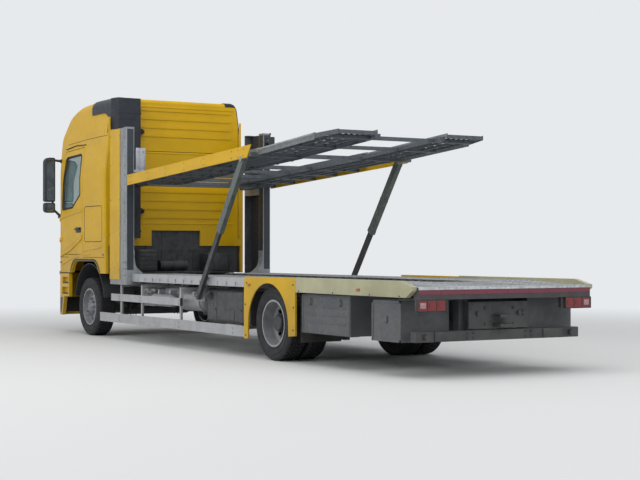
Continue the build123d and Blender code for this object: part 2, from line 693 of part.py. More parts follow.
def bumper():
    """Front bumper: rounded corners in plan, lamp recesses, a mouth and a lower lip."""
    w = WHEELBASE
    x1 = w + FRONT_OVERHANG
    body = plan_face(bumper_plan(0, w + BUMPER_REAR), BUMPER_LOW, BUMPER_TOP)
    body -= plan_face(bumper_plan(BUMPER_DEPTH, w + BUMPER_REAR - 50), BUMPER_LOW - 10, BUMPER_TOP + 10)
    body -= front_face(outline([(-640, 430, 60), (640, 430, 60), (700, 690, 60), (-700, 690, 60)]),
                       x1 - 400, x1 + 50)
    body -= side_plate([(w + 700, 200), (w + 1120, 200), (w + 1000, 620), (w + 700, 620)],
                       -CAB_HALF - 150, CAB_HALF + 150)
    for rear_end, front_end, low, high in STEP_ROWS:
        body -= both(block(w + rear_end, w + front_end, CAB_HALF - STEP_DEPTH, CAB_HALF + 50, low, high))
    body -= both(block(x1 - 90, x1 + 50, LAMP_Y[0] - FIT, LAMP_Y[1] + FIT, LAMP_Z[0] - FIT,
                       LAMP_Z[1] + FIT))
    beams = both(block(FRAME_FRONT_X + FIT, x1, FRAME_HALF - 60, FRAME_HALF, FRAME_LOW + 60,
                       FRAME_LOW + 200))
    return body + (beams & plan_face(bumper_plan(BUMPER_DEPTH + FIT, w), 0, BUMPER_TOP))


piece("bumper", bumper())


def headlamps():
    x1 = WHEELBASE + FRONT_OVERHANG - 20
    body = block(x1 - 70 + 1, x1, *LAMP_Y, *LAMP_Z)
    return both(body & plan_face(bumper_plan(20, WHEELBASE + BUMPER_REAR), 0, BUMPER_TOP))


piece("headlamps", headlamps())

VISOR_HALF = CAB_HALF - 190
VISOR_FRONT = FRONT_OVERHANG + 45
VISOR_LOW = SCREEN_HIGH + 60
VISOR_HEIGHT = 100
BAND_PROUD = 14
BAND_FRONT = 120
BAND_LOW = CAB_TOP - 240
STACK_LOW = 1600
STACK_DEPTH = 185
STACK_IN = CAB_HALF - 560
STACK_OUT = CAB_HALF - 100


def roof_trim():
    """Black side bands along the roof, the intake stack behind the left corner, and the sun visor."""
    w = WHEELBASE
    rear_x = w + CAB_REAR
    over = CAB_TOP + 60
    band_skin = cab_solid(-BAND_PROUD) - cab_solid(-FIT)
    band = side_plate([(w + BAND_FRONT, over), (w + BAND_FRONT - 100, BAND_LOW),
                       (rear_x + 300, BAND_LOW, 60),
                       (rear_x + 120, BAND_LOW - 80, 60), (rear_x + 90, BAND_LOW - 340),
                       (rear_x - 20, BAND_LOW - 340),
                       (rear_x - 20, over)], STACK_IN + 210, CAB_HALF + 100)
    band = (band_skin & band) - block(rear_x - 40, rear_x - FIT, 0, CAB_HALF + 150, 0, over + 60)
    near, far = rear_x - 2 * FIT, rear_x - STACK_DEPTH
    stack_plan = outline([(near, STACK_IN), (near, STACK_OUT), (far, STACK_OUT - 30, 50),
                          (far, STACK_IN + 10, 50)])
    stack = plan_face(stack_plan, STACK_LOW, CAB_TOP - 30)
    half, low, high = VISOR_HALF, VISOR_LOW, VISOR_LOW + VISOR_HEIGHT
    tip = w + VISOR_FRONT
    visor = front_face(outline([(-half, low, 30), (half, low, 30), (half - 30, high, 30),
                                (30 - half, high, 30)]),
                       w + 1000, tip + 20)
    visor_side = outline([(w + 1080, low + 10), (tip - 5, low, 8), (tip, low + 30, 8),
                          (w + 1080, high - 5)])
    visor = (visor & side_face(visor_side, -CAB_HALF, CAB_HALF)) - cab_solid(-FIT)
    return both(band) + stack + visor


piece("roof_trim", roof_trim())


MIRROR_OUT = 250
MIRROR_LOW = 2050
MIRROR_TOP = 3010


def mirrors():
    """Tall mirror housings on two arms at the front of each door window."""
    w = WHEELBASE
    front, y = w + MIRROR_FRONT, CAB_HALF + MIRROR_OUT
    plan = outline([(front - 170, y - 200, 30), (front - 90, y - 210, 30), (front, y - 70, 30),
                    (front, y - 20, 20),
                    (front - 60, y, 30)])
    housing = plan_face(plan, MIRROR_LOW + 190, MIRROR_TOP)
    wide = plan_face(plan, MIRROR_LOW, MIRROR_LOW + 170)
    stay_at = (front - 120, y - 150)
    arms = [rod((w + HINGE_OFF + 60, CAB_HALF - 110, z0), (*stay_at, z1), 20)
            for z0, z1 in ((MIRROR_LOW - 60, MIRROR_LOW + 80), (MIRROR_TOP - 60, MIRROR_TOP - 40))]
    stay = rod((*stay_at, MIRROR_LOW + 10), (*stay_at, MIRROR_TOP - 20), 16)
    return both((housing + wide + arms[0] + arms[1] + stay) - cab_solid(-FIT))


piece("mirrors", mirrors())


def front_mudguards():
    """Half-round black liners over the front wheels, open inward of the tyre for steering."""
    w = WHEELBASE
    ring = cross_rod(w + 20, 540, 640, CAB_HALF - CAB_WALL - 10, 650) - cross_rod(w + 20, 540, 600,
                                                                                  CAB_HALF, 638)
    cut = block(w - 800, w + 800, 600, CAB_HALF, -200, 640)
    ledge = block(w - 30, w + 30, FRAME_HALF + FIT, 660, 1185, 1215) + block(w - 30, w + 30,
                                                                             FRAME_HALF + FIT, 470, 800,
                                                                             1215)
    return both((ring - cut) + ledge)


piece("front_mudguards", front_mudguards())


def seats():
    shapes = []
    for y in (720, -720):
        x = WHEELBASE + 280
        cushion = block(x - 260, x + 240, y - 240, y + 240, 1980, 2110)
        back = side_plate([(x - 260, 2060), (x - 130, 2060), (x - 240, 2780, 60), (x - 360, 2780, 60)],
                          y - 230, y + 230)
        base = block(x - 180, x + 160, y - 150, y + 150, CAB_FLOOR + CAB_WALL, 1985)
        shapes.append(cushion + back + base)
    return shapes[0] + shapes[1]


piece("seats", seats())


DASH_CLEAR = 25


def dashboard():
    """Dash across the cab, with the steering wheel on its column at the left."""
    w = WHEELBASE
    half = CAB_HALF - CAB_WALL - DASH_CLEAR
    dash = side_plate([(w + 860, 1840, 40), (w + 1400, 1800), (w + 1400, 2050), (w + 900, 2070, 60)], -half,
                      half)
    room = Pos(0, 0, -FIT) * dash
    foot_x = (w + 1050, w + 1150)
    legs = block(*foot_x, -TUNNEL_HALF, TUNNEL_HALF, TUNNEL_TOP + FIT, 1850) - room
    legs += both(block(*foot_x, TUNNEL_HALF + 2 * FIT, half, CAB_FLOOR + CAB_WALL + FIT, 1850) - room)
    grip = Plane.XZ * (Pos(220, 0) * RegularPolygon(17, 8))
    ring = Pos(w + 730, 720, 2150) * Rot(0, -35, 0) * revolve(grip, Axis.Z)
    column = rod((w + 940, 720, 1860), (w + 734, 720, 2146), 32)
    spokes = Pos(w + 730, 720, 2150) * Rot(0, -35, 0) * (Box(430, 40, 16) + Box(40, 430, 16))
    wheel = ring + column + spokes - Pos(-FIT, 0, FIT) * dash - dash
    return ((dash + legs) & cab_solid(CAB_WALL + DASH_CLEAR)) + wheel


piece("dashboard", dashboard())

door = cab_door()
glass = door_glass()
piece("door_left", door)
piece("door_glass_left", glass)
piece("door_right", mirrored(door))
piece("door_glass_right", mirrored(glass))


# Guide posts: channels open inward, with a yellow cover, joined by a sill with rounded inner corners
def guide_posts():
    """Each post is an open channel: a box tube at the rear, a web outside and a flange in front."""
    y1 = BODY_HALF_WIDTH - GAP
    y0 = y1 - POST_DEPTH
    tube_x = (POST_REAR_X, POST_REAR_X + POST_RAIL)
    channel = block(tube_x[1] + FIT, POST_FRONT_X, y1 - POST_WALL, y1, POST_LOW, POST_TOP)
    channel += block(POST_FRONT_X - POST_WALL, POST_FRONT_X, y0, y1, POST_LOW, POST_TOP)
    tube = block(*tube_x, y0, y1, POST_LOW, POST_TOP)
    tube -= block(tube_x[0] + POST_WALL, tube_x[1] - POST_WALL, y0 + POST_WALL, y1 - POST_WALL, 0,
                  2 * POST_TOP)
    knee = front_face(outline([(y0 - FIT, FRAME_TOP + 10), (y0 - FIT, 1330), (y0 - 30, 1150, 120),
                               (y0 - 160, DECK_TOP, 120),
                               (y0 - KNEE_REACH, KNEE_TOP), (y0 - KNEE_REACH, FRAME_TOP + 10)]), *tube_x)
    seat = block(POST_REAR_X, POST_FRONT_X, y0, y1, FRAME_TOP, POST_LOW - FIT)
    sill = block(*tube_x, -(y0 - KNEE_REACH - FIT), y0 - KNEE_REACH - FIT, FRAME_TOP + FIT, KNEE_TOP)
    outrigger = block(POST_FRONT_X - 100, POST_FRONT_X, -y0 + FIT, y0 - FIT, FRAME_TOP + FIT, POST_LOW)
    return both(channel) + both(tube) + both(knee) + both(seat) + sill + outrigger


piece("guide_posts", guide_posts())
COVER_LOW = 950
cover = side_plate([(POST_FRONT_X, COVER_LOW), (POST_FRONT_X, POST_TOP),
                    (POST_FRONT_X - COVER_LENGTH, POST_TOP),
                    (POST_FRONT_X - COVER_LENGTH, COVER_LOW)], BODY_HALF_WIDTH - GAP + FIT, BODY_HALF_WIDTH)
piece("post_covers", both(cover))


# Lower deck
PACKING = 45
FOOT_PIN_R = 22
DECK_CROSS_X = (*spaced(320 - REAR_OVERHANG, -600, 5), *spaced(600, DECK_FRONT_X - 140, 7))


def lower_deck_frame():
    """Packing strips on the frame, cross members on them, and the brackets that carry the struts' foot pins."""
    low, high = FRAME_TOP + PACKING + FIT, DECK_TOP - DECK_PLATE - FIT
    strip_y = (FRAME_HALF - 70, FRAME_HALF - 10)
    body = both(block(DECK_CROSS_X[0], DECK_CROSS_X[-1], *strip_y, FRAME_TOP + FIT, FRAME_TOP + PACKING))
    for x in DECK_CROSS_X:
        half = RAIL_OUT - 50 - FIT if x > 0 else BODY_HALF_WIDTH - 60 - FIT
        top = high if x > DECK_KNEE_X else DECK_REAR_Z - DECK_PLATE - FIT
        body += block(x - 35, x + 35, -half, half, low, top)
    plate = block(FOOT_X - 90, FOOT_X + 90, RAIL_OUT - 60, RAIL_OUT, FOOT_Z - 70, RAIL_LOW - FIT)
    plate += cross_rod(FOOT_X, FOOT_Z, RAIL_OUT - 10, STRUT_Y + TUBE_THICK / 2 + 12, FOOT_PIN_R)
    bracket = block(FOOT_X - 60, FOOT_X + 60, FRAME_HALF + FIT, RAIL_OUT - 60 - FIT, FOOT_Z - 60,
                    FOOT_Z + 60)
    return body + both(plate) + both(bracket)


def deck_plates():
    """Two ribbed wheel tracks, a sunk floor between them, and a slope to the rear edge."""
    x_rear = -REAR_OVERHANG + 90
    side = [(DECK_FRONT_X, DECK_TOP - DECK_PLATE), (DECK_FRONT_X, DECK_TOP), (DECK_KNEE_X, DECK_TOP),
            (x_rear, DECK_REAR_Z), (x_rear, DECK_REAR_Z - DECK_PLATE), (DECK_KNEE_X, DECK_TOP - DECK_PLATE)]
    rear_out = BODY_HALF_WIDTH - 62
    track = side_plate(side, TRACK_IN, RAIL_OUT - 54)
    wide = block(x_rear, FENDER_FRONT_X - 20, RAIL_OUT - 60, rear_out, 0, 2000) & side_plate(side, TRACK_IN,
                                                                                             rear_out)
    half = TRACK_IN - FIT
    floor = block(DECK_KNEE_X + FIT, DECK_FRONT_X, -half, half, DECK_TOP - DECK_PLATE,
                  DECK_TOP - DECK_PLATE + 14)
    floor += side_plate(side, -half, half) & block(x_rear, DECK_KNEE_X, -half, half, 0, 2000)
    return both(track + wide) + floor


piece("lower_deck_frame", lower_deck_frame())
piece("lower_deck_plates", deck_plates())

rail = front_face(outline([(RAIL_OUT - 50, RAIL_LOW), (RAIL_OUT, RAIL_LOW), (RAIL_OUT, DECK_TOP),
                           (RAIL_OUT - 50, DECK_TOP)]),
                  FENDER_FRONT_X + GAP, DECK_FRONT_X)
piece("deck_side_rails", both(rail))
TRIM_LOW = 890
TRIM_TOP = 1070
trim_rear = 30 - REAR_OVERHANG
trim = side_plate([(FENDER_REAR_X - GAP, TRIM_LOW), (FENDER_REAR_X - GAP, TRIM_TOP),
                   (trim_rear + 250, TRIM_TOP),
                   (trim_rear, DECK_REAR_Z + 5), (trim_rear, DECK_REAR_Z - 35),
                   (trim_rear + 130, TRIM_LOW)],
                  BODY_HALF_WIDTH - 60, BODY_HALF_WIDTH)
piece("deck_side_trims", both(trim))

FENDER_ARCH_R = 540


def rear_fenders():
    """Yellow arch panels outside the rear tyres, with a return lip over them."""
    rows = [(FENDER_REAR_X, 350), (FENDER_REAR_X, 1062, 60), (FENDER_FRONT_X, 1062, 60),
            (FENDER_FRONT_X, 250)]
    panel = side_plate(rows, BODY_HALF_WIDTH - 25, BODY_HALF_WIDTH)
    panel -= cross_rod(0, TYRE_R - 20, BODY_HALF_WIDTH - 100, BODY_HALF_WIDTH + 50, FENDER_ARCH_R)
    panel -= block(-FENDER_ARCH_R, FENDER_ARCH_R, BODY_HALF_WIDTH - 100, BODY_HALF_WIDTH + 50, 0,
                   TYRE_R - 20)
    top = block(FENDER_REAR_X, FENDER_FRONT_X, BODY_HALF_WIDTH - 62 + FIT, BODY_HALF_WIDTH - 20, 1022, 1062)
    return both(panel + top)


piece("rear_fenders", rear_fenders())


# Storage boxes behind the rear wheels, a drop-down door on the front one
BOX_OUT = BODY_HALF_WIDTH - 65
BOX_IN = 560
BOX_WALL = 16
BOX_1 = (-1890, -760, 400, 870)
BOX_2 = (-2940, -2350, 390, 850)


def storage_boxes():
    x0, x1, z0, z1 = BOX_1
    t = BOX_WALL
    box = block(x0, x1, BOX_IN, BOX_OUT - 24, z0, z1) - block(x0 + t, x1 - t, BOX_IN + t, BOX_OUT, z0 + t,
                                                              z1 - t)
    body = both(box) + both(block(BOX_2[0], BOX_2[1], BOX_IN, BOX_OUT, BOX_2[2], BOX_2[3]))
    for x in (x0 + 130, x1 - 130, (BOX_2[0] + BOX_2[1]) / 2):
        body += both(block(x - 40, x + 40, FRAME_HALF + FIT, BOX_IN - FIT, 640, 700))
    return body


def box_door():
    x0, x1, z0, z1 = BOX_1
    return block(x0, x1, BOX_OUT - 24 + FIT, BOX_OUT, z0, z1)


piece("storage_boxes", storage_boxes())
piece("box_door_left", box_door())
piece("box_door_right", mirrored(box_door()))


# Rear end
REAR_BEAM_DEPTH = 90
UNDERRUN_SETBACK = 140
UNDERRUN_HALF = BODY_HALF_WIDTH - 120
TAIL_LAMP_Y = (BODY_HALF_WIDTH - 420, BODY_HALF_WIDTH - 60)
TAIL_LAMP_Z = (750, 862)


def rear_beam():
    """The beam across the deck's rear edge, with the lamp carriers hung under it."""
    x0 = -REAR_OVERHANG
    half = BODY_HALF_WIDTH - 62
    beam = block(x0, x0 + REAR_BEAM_DEPTH - FIT, -half, half, FRAME_TOP, DECK_REAR_Z)
    return beam + both(block(x0 + 30, x0 + 80, TAIL_LAMP_Y[0] - 50, TAIL_LAMP_Y[1] - 10, TAIL_LAMP_Z[0],
                             FRAME_TOP - FIT))


def underrun_guard():
    """A bar low across the rear, held by legs on the frame, with the brackets that carry the rear beam."""
    x0 = -REAR_OVERHANG
    leg_y = (FRAME_HALF + FIT, FRAME_HALF + 70)
    bar_x = x0 + UNDERRUN_SETBACK
    bar = block(bar_x, bar_x + 100 - FIT, -UNDERRUN_HALF, UNDERRUN_HALF, 400, 515)
    legs = both(block(bar_x + 100, bar_x + 240, *leg_y, 420, FRAME_TOP - 5))
    brackets = both(block(x0 + REAR_BEAM_DEPTH, x0 + 180, FRAME_HALF - 60, FRAME_HALF + 70, FRAME_TOP + FIT,
                          940))
    return bar + legs + brackets


piece("rear_beam", rear_beam())
piece("underrun_guard", underrun_guard())
tail = both(block(-REAR_OVERHANG, -REAR_OVERHANG + 30 - FIT, *TAIL_LAMP_Y, *TAIL_LAMP_Z))
piece("tail_lamps", tail)

COUPLING_PIN_R = 20.5
COUPLING_PLATE = 30
COUPLING_Z = 620


def tow_coupling():
    """A jaw with two ears on a plate across the frame's rear end."""
    x0 = -REAR_OVERHANG + 180
    plate = block(x0 - COUPLING_PLATE - FIT, x0 - FIT, -FRAME_HALF, FRAME_HALF, 530, FRAME_TOP - 40)
    ear_x = (x0 - 170, x0 - COUPLING_PLATE - 2 * FIT)
    ears = block(*ear_x, -90, 90, COUPLING_Z + 35, COUPLING_Z + 70)
    ears += block(*ear_x, -90, 90, COUPLING_Z - 70, COUPLING_Z - 35)
    return plate + (ears - rod((x0 - 110, 0, 0), (x0 - 110, 0, 1000), COUPLING_PIN_R))


piece("tow_coupling", tow_coupling())


# Upper deck
def carriage():
    """Slide blocks in the guide posts, joined by the tube on which the deck hinges."""
    y1 = BODY_HALF_WIDTH - GAP - POST_WALL - FIT
    y0 = BODY_HALF_WIDTH - GAP - POST_DEPTH - 30
    slider = block(POST_REAR_X + POST_RAIL + 2 * FIT, POST_FRONT_X - POST_WALL - FIT, y0 + 30, y1,
                   PIN_Z - 160, PIN_Z + 160)
    return both(slider) + cross_rod(PIN_X, PIN_Z, FIT - y0 - 30, y0 + 30 - FIT, PIN_R)


def deck_z(x):
    """Height of the middle of the upper deck's side beam at x."""
    return PIN_Z + 20 + (BEAM_FRONT_X - x) * tan(UPPER_SLOPE)


def sloped(x0, x1, low, high, y0, y1, slope=UPPER_SLOPE, base=None):
    """A bar along the deck's slope between x0 and x1, low and high measured from the beam's middle line."""
    def height(x):
        if base is None:
            return deck_z(x)
        return deck_z(base) + (base - x) * tan(slope)
    z0, z1 = height(x0), height(x1)
    return side_plate([(x0, z0 + low), (x0, z0 + high), (x1, z1 + high), (x1, z1 + low)], y0, y1)


def upper_beams():
    """Yellow side plates with an inward top flange and a slanted rear end."""
    half = BEAM_HEIGHT / 2
    x0, x1 = BEAM_FRONT_X, BEAM_REAR_X
    y1 = BODY_HALF_WIDTH
    plate = side_plate([(x0, deck_z(x0) - half), (x0, deck_z(x0) + half), (x1, deck_z(x1) + half),
                        (x1 + 110, deck_z(x1) - half)], y1 - BEAM_PLATE, y1)
    return both(plate)


GIRDER_WIDTH = 80
MEMBER_WIDTH = 70
TAIL_CROSS_X = (-400, -1200)
ARM_Y = (BODY_HALF_WIDTH - 330, BODY_HALF_WIDTH - 230)
ARM_STEP_X = POST_REAR_X - 40
ARM_REAR_X = POST_REAR_X - 260
SKIRT = 16
SKIRT_DROP = 55
TAIL_TAPER = (420, 90)
UPPER_CROSS_X = (*spaced(ARM_REAR_X + 100, EYE_X + 1110, 5), BEAM_REAR_X + 50)


def cut_member(x, low, high, y_out, slope=UPPER_SLOPE, base=None):
    """A cross member in three lengths: one between the girders and one from each girder outward."""
    girder_in, girder_out = UPPER_TRACK_IN - GIRDER_WIDTH, UPPER_TRACK_IN - FIT
    half = MEMBER_WIDTH / 2
    middle = sloped(x + half, x - half, low, high, FIT - girder_in, girder_in - FIT, slope, base)
    return middle + both(sloped(x + half, x - half, low, high, girder_out + FIT, y_out, slope, base))


def upper_deck_frame():
    """Girders inside the tracks, cross members in three lengths, and the arms that hinge on the carriage."""
    y_out = BODY_HALF_WIDTH - BEAM_PLATE - FIT
    girder_y = (UPPER_TRACK_IN - GIRDER_WIDTH, UPPER_TRACK_IN - FIT)
    joint_x = BEAM_REAR_X
    body = both(sloped(POST_REAR_X - 130, joint_x, -70, 20, *girder_y))
    body += both(sloped(joint_x - FIT, UPPER_REAR_X + 60, -60, -10, *girder_y, TAIL_SLOPE, joint_x))
    for x in UPPER_CROSS_X:
        body += cut_member(x, -70, -20 - FIT, y_out)
    for x in TAIL_CROSS_X:
        body += cut_member(x, -60, -20 - FIT, UPPER_TRACK_OUT - TAIL_TAPER[1] - SKIRT - 5, TAIL_SLOPE,
                           joint_x)
    step, rear = ARM_STEP_X, ARM_REAR_X
    arm = side_plate([(PIN_X - 30, PIN_Z - 75), (PIN_X + 60, PIN_Z - 75), (PIN_X + 80, PIN_Z),
                      (PIN_X + 60, PIN_Z + 75),
                      (PIN_X - 30, PIN_Z + 75), (step, deck_z(step) + 40), (step, deck_z(step) - 21),
                      (rear, deck_z(rear) - 21), (rear, deck_z(rear) - 70), (step, deck_z(step) - 80)],
                     *ARM_Y)
    arm -= cross_rod(PIN_X, PIN_Z, ARM_Y[0] - 40, ARM_Y[1] + 60, PIN_R + RUNNING_FIT)
    for x in UPPER_CROSS_X:
        if x + MEMBER_WIDTH / 2 > rear:
            half = MEMBER_WIDTH / 2 + FIT
            arm -= sloped(x + half, x - half, -90, 0, ARM_Y[0] - 10, ARM_Y[1] + 10)
    return body + both(arm)


def tray(x0, x1, rim_z, slope=UPPER_SLOPE, base=None):
    """A shallow tray of folded plate with raised edges."""
    y0, y1, fold = UPPER_TRACK_IN, UPPER_TRACK_OUT, 20
    whole = sloped(x0, x1, -20, rim_z, y0, y1, slope, base)
    return whole - sloped(x0 + 10, x1 - 10, 0, rim_z + 20, y0 + fold, y1 - fold, slope, base)


def tail_track():
    """The tail's thinner tray with a skirt along its outer edge, tapered in plan at its rear corner."""
    joint_x, y1 = BEAM_REAR_X - FIT, UPPER_TRACK_OUT
    back, inward = TAIL_TAPER
    skirt = sloped(joint_x, UPPER_REAR_X, -SKIRT_DROP, 30, y1 - SKIRT, y1, TAIL_SLOPE, BEAM_REAR_X)
    rear_skirt = sloped(UPPER_REAR_X + SKIRT, UPPER_REAR_X, -SKIRT_DROP, 30, UPPER_TRACK_IN, y1, TAIL_SLOPE,
                        BEAM_REAR_X)
    whole = tray(joint_x, UPPER_REAR_X, 30, TAIL_SLOPE, BEAM_REAR_X) + skirt + rear_skirt
    corner = plan_face(outline([(UPPER_REAR_X - 50, y1 - inward), (UPPER_REAR_X, y1 - inward),
                                (UPPER_REAR_X + back, y1 + 1), (UPPER_REAR_X - 50, y1 + 1)]), 0,
                       2 * POST_TOP)
    return whole - corner


def upper_tracks():
    """Wheel tracks on each side, the tail's thinner and steeper."""
    return both(tray(POST_REAR_X - 60, BEAM_REAR_X, 40)) + both(tail_track())


piece("upper_carriage", carriage())
piece("upper_deck_beams", upper_beams())
piece("upper_deck_frame", upper_deck_frame())
piece("upper_deck_tracks", upper_tracks())


# Struts: a black inner tube on a foot pin, and a silver sleeve that slides on it up to the deck
STRUT_LENGTH = hypot(EYE_X - FOOT_X, EYE_Z - FOOT_Z)
STRUT_ANGLE = degrees(atan2(EYE_Z - FOOT_Z, EYE_X - FOOT_X))


def strut_place(shape):
    """Turn a shape drawn along +X from the foot pin into the strut's line."""
    return Pos(FOOT_X, STRUT_Y, FOOT_Z) * Rot(0, -STRUT_ANGLE, 0) * shape


def strut_tube():
    top = STRUT_LENGTH - SLEEVE_LENGTH + TUBE_IN_SLEEVE + 30
    bar = block(0, top, -TUBE_THICK / 2, TUBE_THICK / 2, -TUBE_WIDE / 2, TUBE_WIDE / 2)
    eye = cross_rod(0, 0, -TUBE_THICK / 2, TUBE_THICK / 2, 48)
    hole = cross_rod(0, 0, -TUBE_THICK, TUBE_THICK, FOOT_PIN_R + RUNNING_FIT)
    return strut_place(bar + eye - hole)


def strut_sleeve():
    low = STRUT_LENGTH - SLEEVE_LENGTH + 30
    body = block(low, STRUT_LENGTH + 40, -SLEEVE_THICK / 2, SLEEVE_THICK / 2, -SLEEVE_WIDE / 2,
                 SLEEVE_WIDE / 2)
    body -= block(low - 10, STRUT_LENGTH - 60, -TUBE_THICK / 2 - FIT, TUBE_THICK / 2 + FIT,
                  -TUBE_WIDE / 2 - FIT, TUBE_WIDE / 2 + FIT)
    pin = cross_rod(STRUT_LENGTH, 0, -SLEEVE_THICK / 2 - 18, SLEEVE_THICK / 2 + 1, 24)
    return strut_place(body + pin)


piece("strut_tube_left", strut_tube())
piece("strut_tube_right", mirrored(strut_tube()))
piece("strut_sleeve_left", strut_sleeve())
piece("strut_sleeve_right", mirrored(strut_sleeve()))

# Move the origin from the rear axle to under the middle of the vehicle, and write each piece
TO_MIDDLE = Pos((REAR_OVERHANG - MIRROR_FRONT - WHEELBASE) / 2, 0, 0)
os.makedirs("parts", exist_ok=True)
for name, shape in PARTS.items():
    export_step(TO_MIDDLE * shape, f"parts/{name}.step")
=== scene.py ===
import math

import bmesh
import bpy
from mathutils import Matrix, Vector


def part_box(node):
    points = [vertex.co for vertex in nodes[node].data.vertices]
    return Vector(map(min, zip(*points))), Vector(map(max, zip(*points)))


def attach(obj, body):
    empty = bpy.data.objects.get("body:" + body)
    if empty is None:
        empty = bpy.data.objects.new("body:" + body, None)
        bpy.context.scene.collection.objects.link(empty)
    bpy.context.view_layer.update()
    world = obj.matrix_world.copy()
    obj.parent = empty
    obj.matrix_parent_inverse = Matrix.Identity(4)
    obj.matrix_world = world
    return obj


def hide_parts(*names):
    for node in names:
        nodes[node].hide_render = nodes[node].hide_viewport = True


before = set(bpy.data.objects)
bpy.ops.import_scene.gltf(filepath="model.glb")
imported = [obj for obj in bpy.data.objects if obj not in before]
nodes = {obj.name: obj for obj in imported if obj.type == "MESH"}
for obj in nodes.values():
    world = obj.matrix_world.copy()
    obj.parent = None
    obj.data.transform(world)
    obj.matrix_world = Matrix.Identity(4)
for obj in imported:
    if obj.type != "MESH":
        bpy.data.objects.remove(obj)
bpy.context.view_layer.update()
scene = bpy.context.scene

# Studio: a plain pale floor that runs into a pale background, and a camera that stands where the
# photographer stood, behind the truck's left corner at eye height, with a longer lens so that the
# truck fills the picture.
CAMERA_AT = (-18.12, 9.93, 1.41)
CAMERA_AIM = (-0.93, -0.28, 1.55)
CAMERA_LENS = 80
SENSOR = 36
BACKDROP = (0.8, 0.82, 0.84)
FADE_NEAR = 5.0
FADE_FAR = 17.0


def fill(tree, node, inputs):
    """Fill a node's inputs: a socket is linked to its input, any other value is set on it."""
    for key, value in inputs.items():
        socket = node.inputs[key]
        if isinstance(value, bpy.types.NodeSocket):
            tree.links.new(value, socket)
        else:
            socket.default_value = (*value, 1) if socket.type == "RGBA" else value


def add(tree, kind, inputs, **settings):
    """A new shader node with its settings made and its inputs filled."""
    node = tree.nodes.new("ShaderNode" + kind)
    for name, value in settings.items():
        setattr(node, name, value)
    fill(tree, node, inputs)
    return node


def maths(tree, operation, *inputs):
    return add(tree, "Math", dict(enumerate(inputs)), operation=operation).outputs["Value"]


def times(tree, first, second):
    return maths(tree, "MULTIPLY", first, second)


def here(tree):
    """The object's own coordinates at each point."""
    return add(tree, "TexCoord", {}).outputs["Object"]


def spread(tree, factor, low, high, to_low=0.0, to_high=1.0, **settings):
    """Map a factor from one range to another and clamp it."""
    ends = {"Value": factor, "From Min": low, "From Max": high, "To Min": to_low, "To Max": to_high}
    return add(tree, "MapRange", ends, **settings).outputs["Result"]


def looks_towards(tree):
    """1 where a ray of the camera, a reflection or the glass looks at the surroundings, else 0."""
    path = add(tree, "LightPath", {})
    share = path.outputs["Is Camera Ray"]
    for kind in ("Is Glossy Ray", "Is Transmission Ray"):
        share = maths(tree, "MAXIMUM", share, path.outputs[kind])
    return share


def shader(name, colour, roughness, metallic=0.0):
    """A new material with its node tree and its Principled shader."""
    material = bpy.data.materials.new(name)
    material.use_nodes = True
    tree = material.node_tree
    bsdf = tree.nodes["Principled BSDF"]
    fill(tree, bsdf, {"Base Color": colour, "Roughness": roughness, "Metallic": metallic})
    return material, tree, bsdf


def mesh_of(bm, name):
    """Turn a finished bmesh into a mesh."""
    mesh = bpy.data.meshes.new(name)
    bm.to_mesh(mesh)
    bm.free()
    return mesh


def aimed(name, data, place, aim):
    """Stand a camera or a lamp at a place and turn it to what it looks at."""
    thing = bpy.data.objects.new(name, data)
    scene.collection.objects.link(thing)
    thing.location = place
    thing.rotation_euler = (Vector(aim) - Vector(place)).to_track_quat("-Z", "Y").to_euler()
    return thing


scene.camera = aimed("camera", bpy.data.cameras.new("camera"), CAMERA_AT, CAMERA_AIM)
scene.camera.data.lens = CAMERA_LENS
scene.camera.data.sensor_width = SENSOR
scene.camera.data.clip_end = 200
scene.view_settings.view_transform = "Standard"
for name, place, aim, size, power in (("overcast", (-3, 3, 13), (0, 0, 1), (16, 12), 1180),
        ("left_side", (-4, 15, 7), (0, 0, 1.6), (12, 7), 760),
        ("behind", (-16, -3, 7), (-2, 0, 1.5), (8, 6), 330)):
    lamp = aimed(name, bpy.data.lights.new(name, "AREA"), place, aim).data
    lamp.shape = "RECTANGLE"
    lamp.size, lamp.size_y = size
    lamp.energy = power

scene.world = bpy.data.worlds.new("studio")
scene.world.use_nodes = True
tree = scene.world.node_tree
lit = tree.nodes["Background"]
fill(tree, lit, {"Color": (0.93, 0.96, 1.0), "Strength": 0.56})
seen = add(tree, "Background", {"Color": BACKDROP, "Strength": 1.0})
either = add(tree, "MixShader", {"Fac": looks_towards(tree), 1: lit.outputs[0], 2: seen.outputs[0]})
fill(tree, tree.nodes["World Output"], {"Surface": either.outputs[0]})

# Where it is looked at, the floor turns into the backdrop's colour with distance from the middle.
bm = bmesh.new()
bmesh.ops.create_grid(bm, x_segments=1, y_segments=1, size=120)
floor = bpy.data.objects.new("floor", mesh_of(bm, "floor"))
scene.collection.objects.link(floor)
floor_paint, tree, bsdf = shader("floor", (0.62, 0.62, 0.61), 0.75)
floor.data.materials.append(floor_paint)
reach = add(tree, "VectorMath", {0: here(tree)}, operation="LENGTH").outputs["Value"]
away = spread(tree, reach, FADE_NEAR, FADE_FAR, interpolation_type="SMOOTHSTEP")
backdrop = add(tree, "Emission", {"Color": BACKDROP})
share = times(tree, away, looks_towards(tree))
either = add(tree, "MixShader", {"Fac": share, 1: bsdf.outputs["BSDF"], 2: backdrop.outputs[0]})
fill(tree, tree.nodes["Material Output"], {"Surface": either.outputs[0]})


